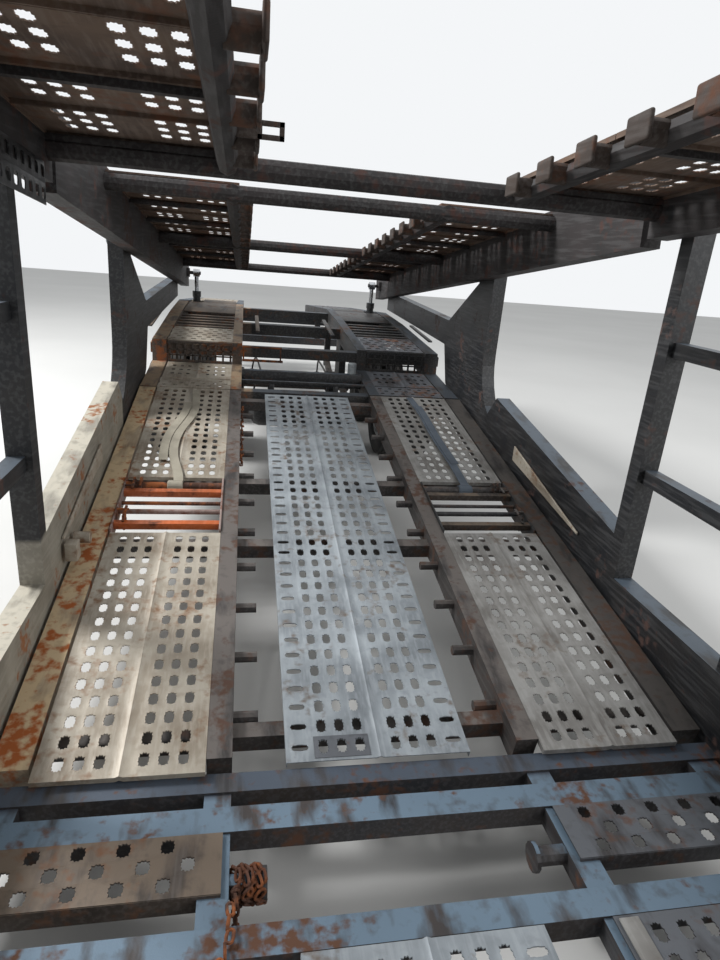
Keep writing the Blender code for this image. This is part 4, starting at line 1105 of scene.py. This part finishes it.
TAB_X = (-0.440, -0.365)
TAB_Y = span(-1.20, 0.004)
TAB_Z = (2.112, 2.160)
TAB_WALL = 0.014
tab = [
    bar((-0.500, TAB_X[0] + TAB_WALL), TAB_Y, TAB_Z, 0.001),
    bar((TAB_X[1] - TAB_WALL, TAB_X[1]), TAB_Y, TAB_Z, 0.001),
    bar(TAB_X, TAB_Y, (TAB_Z[0], TAB_Z[0] + TAB_WALL), 0.001),
    bar(TAB_X, TAB_Y, (TAB_Z[1] - TAB_WALL, TAB_Z[1]), 0.001),
]
piece(tab, "hook_tab", "dark_stub_iron", "front_deck")
print("slotted web and the hook tab")

# %% [markdown]
# ## Turned parts
# Tyres, hub caps and brake chambers are round about one axis. Each starts as a single point that is extruded
# along its profile and then spun, as a potter or a lathe would shape it.


# %% A lathe
def lathe(profile, steps, closed=False):
    """Spins a profile of (x, radius) about the X axis through the origin."""
    bpy.ops.mesh.primitive_plane_add(size=1)
    obj = bpy.context.object
    edit(obj, "VERT")
    pick(obj, "VERT", lambda at, v: v.index > 0)
    bpy.ops.mesh.delete(type="VERT")
    bpy.ops.mesh.select_all(action="SELECT")
    bpy.ops.transform.translate(value=(profile[0][0] + 0.5, 0.5, profile[0][1]))
    for before, after in zip(profile, profile[1:]):
        shift = (after[0] - before[0], 0, after[1] - before[1])
        bpy.ops.mesh.extrude_region_move(TRANSFORM_OT_translate={"value": shift})
    if closed:
        bpy.ops.mesh.select_all(action="SELECT")
        pick(obj, "VERT", lambda at, v: len(v.link_edges) == 1)
        bpy.ops.mesh.edge_face_add()
    bpy.ops.mesh.select_all(action="SELECT")
    bpy.ops.mesh.spin(steps=steps, angle=2 * math.pi, center=(0, 0, 0), axis=(1, 0, 0))
    leave_edit()
    on_all(obj, bpy.ops.mesh.remove_doubles, threshold=1e-5)
    return outward(obj)


# %% [markdown]
# ## Tyres and wheels
# Truck tyres have straight grooves round the tread, a rounded shoulder and a ridge on the sidewall. The
# wheels are steel discs held by ten nuts round a hub, with a small valve.

# %% Tyres
TYRE_R = 0.3985
TYRE_X = {"outer": 1.1745, "inner": 0.9075}
AXLE_Y = {"front": 2.75, "rear": 4.00}
TREAD = TYRE_R - 0.011  # radius in the grooves
SIDEWALL = [
    (-0.080, 0.2219), (-0.104, 0.2500), (-0.1175, 0.3000), (-0.1165, 0.3300), (-0.110, 0.3620),
    (-0.1015, 0.3850), (-0.0935, 0.3975),
]
profile = list(SIDEWALL)
for at in (-0.060, -0.020, 0.020, 0.060):
    profile += [(at - 0.0055, TYRE_R), (at - 0.0040, TREAD), (at + 0.0040, TREAD), (at + 0.0055, TYRE_R)]
profile += [(-x, r) for x, r in reversed(SIDEWALL)]
tyre = lathe(profile, 56, closed=True)
print("tyre:", len(tyre.data.polygons), "faces")
for place, y in AXLE_Y.items():
    for side_name, side in SIDES:
        for which, x in TYRE_X.items():
            made = placed(copy_of(tyre), (side * x, y, TYRE_R))
            node_name = f"tyre_{place}_{side_name}_{which}"
            body = f"wheels_{place}_{side_name}"
            piece(made, f"grooved_{node_name}", "moulded_tyre_rubber", body, node_name, smooth=25)
bpy.data.objects.remove(tyre)

# %% Wheel nuts, hub caps and valves
NUT_CIRCLE = 0.135
NUT_X = 1.085


def circle_of(count, radius):
    """The (y, z) places of so many things round the X axis."""
    turns = [2 * math.pi * index / count for index in range(count)]
    return [(math.cos(turn) * radius, math.sin(turn) * radius) for turn in turns]


hub = []
for at in circle_of(10, NUT_CIRCLE):
    hub.append(tube((NUT_X - 0.014, *at), (NUT_X + 0.016, *at), 0.016, 6, 0.0015))
    hub.append(tube((NUT_X + 0.015, *at), (NUT_X + 0.028, *at), 0.009, 8, 0.001))
cap = lathe([(1.204, 0), (1.2240, 0.018), (1.2240, 0.036), (1.2170, 0.046), (1.2040, 0.050)], 24)
hub += [tube((1.216, *at), (1.2275, *at), 0.005, 6, 0) for at in circle_of(6, 0.041)]
valve = tube((1.085, 0.188, 0.02), (1.150, 0.196, 0.02), 0.005, 8, 0.001)
right_set = join(*hub, cap, valve)
sets = {"left": mirror_of(right_set), "right": right_set}
for place, y in AXLE_Y.items():
    for side_name, source in sets.items():
        made = placed(copy_of(source), (0, y, TYRE_R))
        name = f"{place}_{side_name}"
        piece(made, f"hub_and_nuts_{name}", "zinc_dipped_steel", f"wheels_{name}")
for source in sets.values():
    bpy.data.objects.remove(source)
print("wheel nuts, hubs and valves")

# %% [markdown]
# ## Brakes and springs
# Air brake chambers hang behind each axle on brackets and push a lever on the cam shaft. U-bolts clamp the
# leaf springs to the axle. Steel air lines lead from a tank between the beams to the chambers.

# %% Running gear details
CHAMBER_X = 0.37
CHAMBER_BACK = 0.185
SPRING_X = 0.517
TANK = (0, 1.86, 0.60)
BAND_X = (-0.25, 0.25)
HANGER_Y = (1.735, 1.985)
INNER_FACE = 0.479  # of the long beams
chamber = lathe(
    [
        (-0.085, 0), (-0.085, 0.030), (-0.070, 0.060), (-0.006, 0.078), (-0.006, 0.088), (0.006, 0.088),
        (0.006, 0.078), (0.060, 0.070), (0.085, 0.045), (0.085, 0),
    ],
    24,
)
for place, y in AXLE_Y.items():
    parts = []
    for side in (-1, 1):
        can_place = (side * CHAMBER_X, y + CHAMBER_BACK, TYRE_R + 0.02)
        parts.append(placed(copy_of(chamber), can_place, (0, 0, math.pi / 2)))
        parts.append(bar(span(side * CHAMBER_X, 0.06), (y + 0.055, y + 0.105), span(TYRE_R, 0.03)))
        cam = (y + 0.10, TYRE_R - 0.05)
        parts.append(tube((side * 0.31, *cam), (side * 0.70, *cam), 0.014, 12))
        for along in (-0.045, 0.045):
            for across in (0.473, 0.562):
                at = (side * across, y + along)
                parts.append(tube((*at, TYRE_R - 0.075), (*at, TYRE_R + 0.145), 0.008, 8))
        for low, high in ((0.128, 0.140), (-0.078, -0.062)):
            parts.append(bar(span(side * SPRING_X, 0.06), span(y, 0.07), (TYRE_R + low, TYRE_R + high)))
    piece(parts, f"brakes_{place}", "scuffed_black_plate")
bpy.data.objects.remove(chamber)

half_tank = [(-0.42, 0), (-0.42, 0.05), (-0.38, 0.11), (-0.34, 0.125)]
tank = placed(lathe(half_tank + [(-x, r) for x, r in reversed(half_tank)], 32), TANK)
bands = [bar(span(x, 0.02), span(TANK[1], 0.13), (0.722, 0.728), 0.001) for x in BAND_X]
bands += [bar(span(x, 0.02), span(y, 0.004), (TANK[2], 0.860), 0.001) for x in BAND_X for y in HANGER_Y]
bands += [bar(span(0, INNER_FACE), span(y, 0.010), (0.84, 0.862), 0.002) for y in HANGER_Y]
piece([tank, *bands], "air_tank", "black_chassis_enamel")


def bent_pipe(points, radius):
    """A pipe along a smooth line."""
    line, spline = smooth_line(points, 3)
    spline.resolution_u = 5
    line.data.bevel_depth = radius
    line.data.bevel_resolution = 2
    line.data.use_fill_caps = True
    return to_mesh(line)


air_lines = []
for side in (-1, 1):
    for y in AXLE_Y.values():
        path = (
            (0.20, 1.98, 0.66), (0.24, 2.20, 0.72), (0.30, 2.50, 0.74),
            (0.33, y - 0.25, 0.72), (0.36, y + 0.05, 0.62), (CHAMBER_X, y + CHAMBER_BACK, 0.50),
        )
        air_lines.append(bent_pipe([(side * at[0], *at[1:]) for at in path], 0.009))
piece(air_lines, "steel_air_lines", "scuffed_black_plate", smooth=40)
print("brakes, tank, air lines")

# %% [markdown]
# ## Fittings behind the climbing deck
# A deep black channel lies between the long beams, with a rusty rod over it and a small air filter. A spare
# chain lies along the left inner beam. Thin pale blades hang between the rails and the outer beams, and keep
# straps from falling through.

# %% Channel, rod, filter, blades and chains
BEAM_FACE = 0.478
ROD_Y = 2.10
BLADE_X = 1.1955
THIN_END = 0.12  # of the blade's full depth
channel = bar(span(0, BEAM_FACE), (1.900, 1.960), (0.790, 0.905), 0.004)
piece(channel, "deep_channel", "black_chassis_enamel")
rod = [
    tube((-BEAM_FACE, ROD_Y, 1.055), (-0.160, ROD_Y, 1.055), 0.007, 10),
    bar((-BEAM_FACE, -0.150), span(ROD_Y, 0.015), (0.940, 0.956), 0.002),
]
rod += [bar(span(x, 0.006), span(ROD_Y, 0.008), (0.955, 1.060), 0.001) for x in (-0.468, -0.170)]
piece(rod, "rusty_rod", "rusted_chain_iron")
can = lathe([(0, 0), (0, 0.030), (0.006, 0.035), (0.084, 0.035), (0.090, 0.028), (0.090, 0)], 20)
placed(can, (0.400, 1.930, 0.905), (0, -math.pi / 2, 0))
piece(can, "air_filter", "zinc_dipped_steel")


def blade(side, start, end):
    """A flat bar with its thin end near, along a rail's inner face between two (y, z) places."""
    made = bar(span(side * BLADE_X, 0.005), (start[0], end[0]), (-0.045, 0.045), 0)
    for vertex in made.data.vertices:
        near = vertex.co.y < (start[0] + end[0]) / 2
        vertex.co.z = start[1] + vertex.co.z * THIN_END if near else end[1] + vertex.co.z
    return modify(made, "BEVEL", width=0.002, segments=1, limit_method="ANGLE")


for (side_name, side), start, end in zip(
    SIDES, ((-0.60, 0.620), (-0.50, 0.600)), ((0.20, 0.750), (0.38, 0.745))
):
    # The blades wear the galvanised grey with a painted sunlit warmth.
    piece(blade(side, start, end), f"strap_guard_{side_name}", "galvanised_plate_painted_sun")
bracket = [
    bar((-1.1895, -1.140), (-0.62, -0.56), (0.520, 0.600), 0.004),
    tube((-1.189, -0.46, 0.560), (-1.120, -0.46, 0.560), 0.026),
]
# The bracket wears the same painted sunlit warmth.
piece(bracket, "guard_bracket", "galvanised_plate_painted_sun")
flat_iron = bar((0.510, 0.565), (-2.90, -2.17), (0.2755, 0.2815), 0.002)
piece(flat_iron, "loose_flat_iron", "galvanised_plate_grey")

LINK_STEP = 0.0335
links = []
for index in range(26):
    along = (0.45 + index * LINK_STEP - SLOPE_FOOT.y) / math.cos(SLOPE)
    place = on_slope(-0.4705 + 0.004 * math.sin(index * 2.1), along, -0.045)
    links.append((place, (0, math.pi / 2 * (index % 2), math.sin(index * 1.7) * 0.25)))
for index in range(9):
    across = -0.462 - index * 0.0045 + 0.006 * math.sin(index * 1.9)
    place = (across, -1.975 - index * LINK_STEP, 0.248 + min(index, 2) * 0.018)
    links.append((place, (0, math.pi / 2 * (index % 2), math.sin(index * 1.3) * 0.2)))
chain("spare_chains", links)
print("channel, rod, filter, blades, chains")

# %% [markdown]
# ## The tail
# The bar across the tail carries three round lamps a side, a blank number plate and its small lamp. Mud flaps
# hang behind the wheels. Red reflectors sit on the under-run guard and amber ones along the rails.

# %% Lamps, flaps and reflectors
TAIL_FACE = 7.3005
LAMP_X = (0.72, 0.86, 1.00)
LAMP_Z = 0.7625
FLAP_X = 1.045
MARKERS = ((-6.6, 1.31), (-5.2, 1.31), (-3.4, 0.37), (-2.2, 0.37), (1.2, 0.92), (2.35, 1.27), (3.9, 1.33))
lens = lathe([(0, 0), (0, 0.050), (0.010, 0.050), (0.016, 0.042), (0.018, 0.020), (0.018, 0)], 24)
rim = [(-0.004, 0.050), (-0.004, 0.060), (0.008, 0.060), (0.014, 0.052), (0.010, 0.050)]
ring = lathe(rim, 24, closed=True)
reds, rings = [], []
for group, source in ((reds, lens), (rings, ring)):
    for x in [side * x for side in (-1, 1) for x in LAMP_X]:
        group.append(placed(copy_of(source), (x, TAIL_FACE, LAMP_Z), (0, 0, math.pi / 2)))
    bpy.data.objects.remove(source)
reds += [bar(span(x, 0.035), (TAIL_FACE, 7.314), (0.806, 0.820)) for x in (-0.16, 0, 0.16)]
reds += [bar(span(x, 0.04), (7.0605, 7.068), (0.445, 0.495), 0.002) for x in (-0.93, 0.93)]
piece(reds, "tail_lamp_lenses", "red_acrylic")
rings.append(bar(span(0, 0.155), (TAIL_FACE, 7.304), (0.690, 0.790), 0.002))
piece(rings, "lamp_rings_and_plate", "zinc_dipped_steel")

flaps = []
for side_name, side in SIDES:
    flaps.append(bar(span(side * FLAP_X, 0.23), (4.66, 4.666), (0.22, 0.80), 0.002))
    hanger = bar((side * FLAP_X - 0.24, side * FLAP_X + 0.14), (4.640, 4.660), (0.78, 1.02), 0.002)
    piece(hanger, f"flap_bracket_{side_name}", "black_chassis_enamel")
piece(flaps, "mud_flaps", "moulded_tyre_rubber")
ambers = [bar(span(x, 0.0045), span(y, 0.05), span(z, 0.025)) for x in (-1.3, 1.3) for y, z in MARKERS]
piece(ambers, "amber_side_markers", "amber_acrylic")
print("tail lamps, flaps, markers")

# %% [markdown]
# ## Pins, nuts and the neck
# Heavy nuts close the decks' pins on the outer faces of the posts. The neck carries the two air couplings and
# the socket for the tractor's lines, and the landing legs have a gearbox and a folded crank on the left.

# %% Nuts, couplings and crank
NOSE_FACE = -7.290
NOSE_Z = 1.32
LEG_X, LEG_Y = 0.86, -4.52


def across_rod(x, y, z, radius, sides, ease=0.001):
    """A round piece along X between two places."""
    return tube((x[0], y, z), (x[1], y, z), radius, sides, ease)


parts = []
for side in (-1, 1):
    for pin in (FRONT_PIN, REAR_PIN):
        parts.append(across_rod((side * 1.2953, side * 1.303), pin.y, pin.z, 0.048, 24))
        parts.append(across_rod((side * 1.303, side * 1.321), pin.y, pin.z, 0.034, 6, 0.002))
    parts += [across_rod((side * 1.295, side * 1.301), FRONT_PIN.y, z, 0.012, 6) for z in (1.20, 1.45)]
piece(parts, "pin_nuts", "zinc_dipped_steel")

nose = [bar(span(0, 0.36), (-7.292, -7.284), (1.24, 1.40), 0.002)]
for x in (-0.24, -0.10):
    nose.append(tube((x, NOSE_FACE, NOSE_Z), (x, NOSE_FACE - 0.040, NOSE_Z), 0.020))
    nose.append(bar(span(x, 0.028), (-7.352, -7.328), span(NOSE_Z, 0.024), 0.006))
nose.append(tube((0.12, NOSE_FACE, NOSE_Z), (0.12, NOSE_FACE - 0.055, NOSE_Z), 0.034, 20, 0.003))
nose.append(bar(span(0.12, 0.035), (-7.352, -7.345), (1.30, 1.36)))
piece(nose, "air_and_light_couplings", "zinc_dipped_steel")

legs = []
for side in (-1, 1):
    x = side * LEG_X
    legs.append(bar((x + side * 0.066, x + side * 0.15), span(LEG_Y, 0.055), (0.58, 0.74), 0.010))
    legs.append(bar(span(x, 0.085), span(LEG_Y, 0.085), (0.30, 0.318)))
    for z in (0.79, 0.89):
        for y in span(LEG_Y, 0.05):
            legs.append(across_rod((side * 1.10, side * 1.118), y, z, 0.012, 6))
    for rib in (-0.07, 0.07):
        legs.append(bar(span(x + rib, 0.005), span(LEG_Y, 0.10), (0.03, 0.10), 0.002))
legs.append(across_rod((-0.93, 0.93), LEG_Y, 0.66, 0.014, 12, 0.002))
crank_path = ((-1.00, 0), (-1.16, 0), (-1.19, 0.02), (-1.195, 0.12), (-1.195, 0.30))
legs.append(bent_pipe([(x, LEG_Y + along, 0.70) for x, along in crank_path], 0.011))
piece(legs, "leg_gearboxes_and_crank", "black_chassis_enamel")
print("nuts, couplings, legs")

# %% [markdown]
# ## Floor and light
# A pale floor and a bright, even surround, as in a photographer's studio. The lamps are large, so shadows
# are soft, and they are set so that a colour comes out about as it is written.

# %% Floor, world and lamps
bpy.ops.mesh.primitive_plane_add(size=60, location=(0, 0, -0.001))
floor = bpy.context.object
floor.name = "studio_floor"
paper, tree, shader, place = new_material("pale_studio_paper")
tint = mixed(tree, patches(tree, place, 0.4, 0.3, 0.7), "#cfcfcd", "#c8c8c6")
fill(tree, shader, {"Base Color": tint, "Roughness": 0.9})
floor.data.materials.append(paper)

world = bpy.data.worlds.new("studio")
bpy.context.scene.world = world
world.use_nodes = True
tree = world.node_tree
rays = add_node(tree, "ShaderNodeLightPath").outputs
seen = maths(tree, "MAXIMUM", rays["Is Camera Ray"], rays["Is Glossy Ray"])
seen = maths(tree, "MAXIMUM", seen, rays["Is Transmission Ray"])
surround = {"Color": linear("#f4f6f8"), "Strength": ranged(tree, seen, 0.66, 1.0)}
fill(tree, tree.nodes["Background"], surround)


def lamp(name, place, towards, size, power):
    bpy.ops.object.light_add(type="AREA", location=place)
    obj = bpy.context.object
    obj.name = name
    obj.data.size = size
    obj.data.energy = power
    obj.rotation_euler = (Vector(towards) - Vector(place)).to_track_quat("-Z", "Y").to_euler()


lamp("key_left", (-9.0, 3.0, 9.0), (0, 0, 0.6), 3.0, 2000)
lamp("fill_right", (9.0, -6.0, 6.0), (0, 0, 1.0), 6.0, 600)
bpy.context.scene.view_settings.view_transform = "Standard"
print("studio ready")
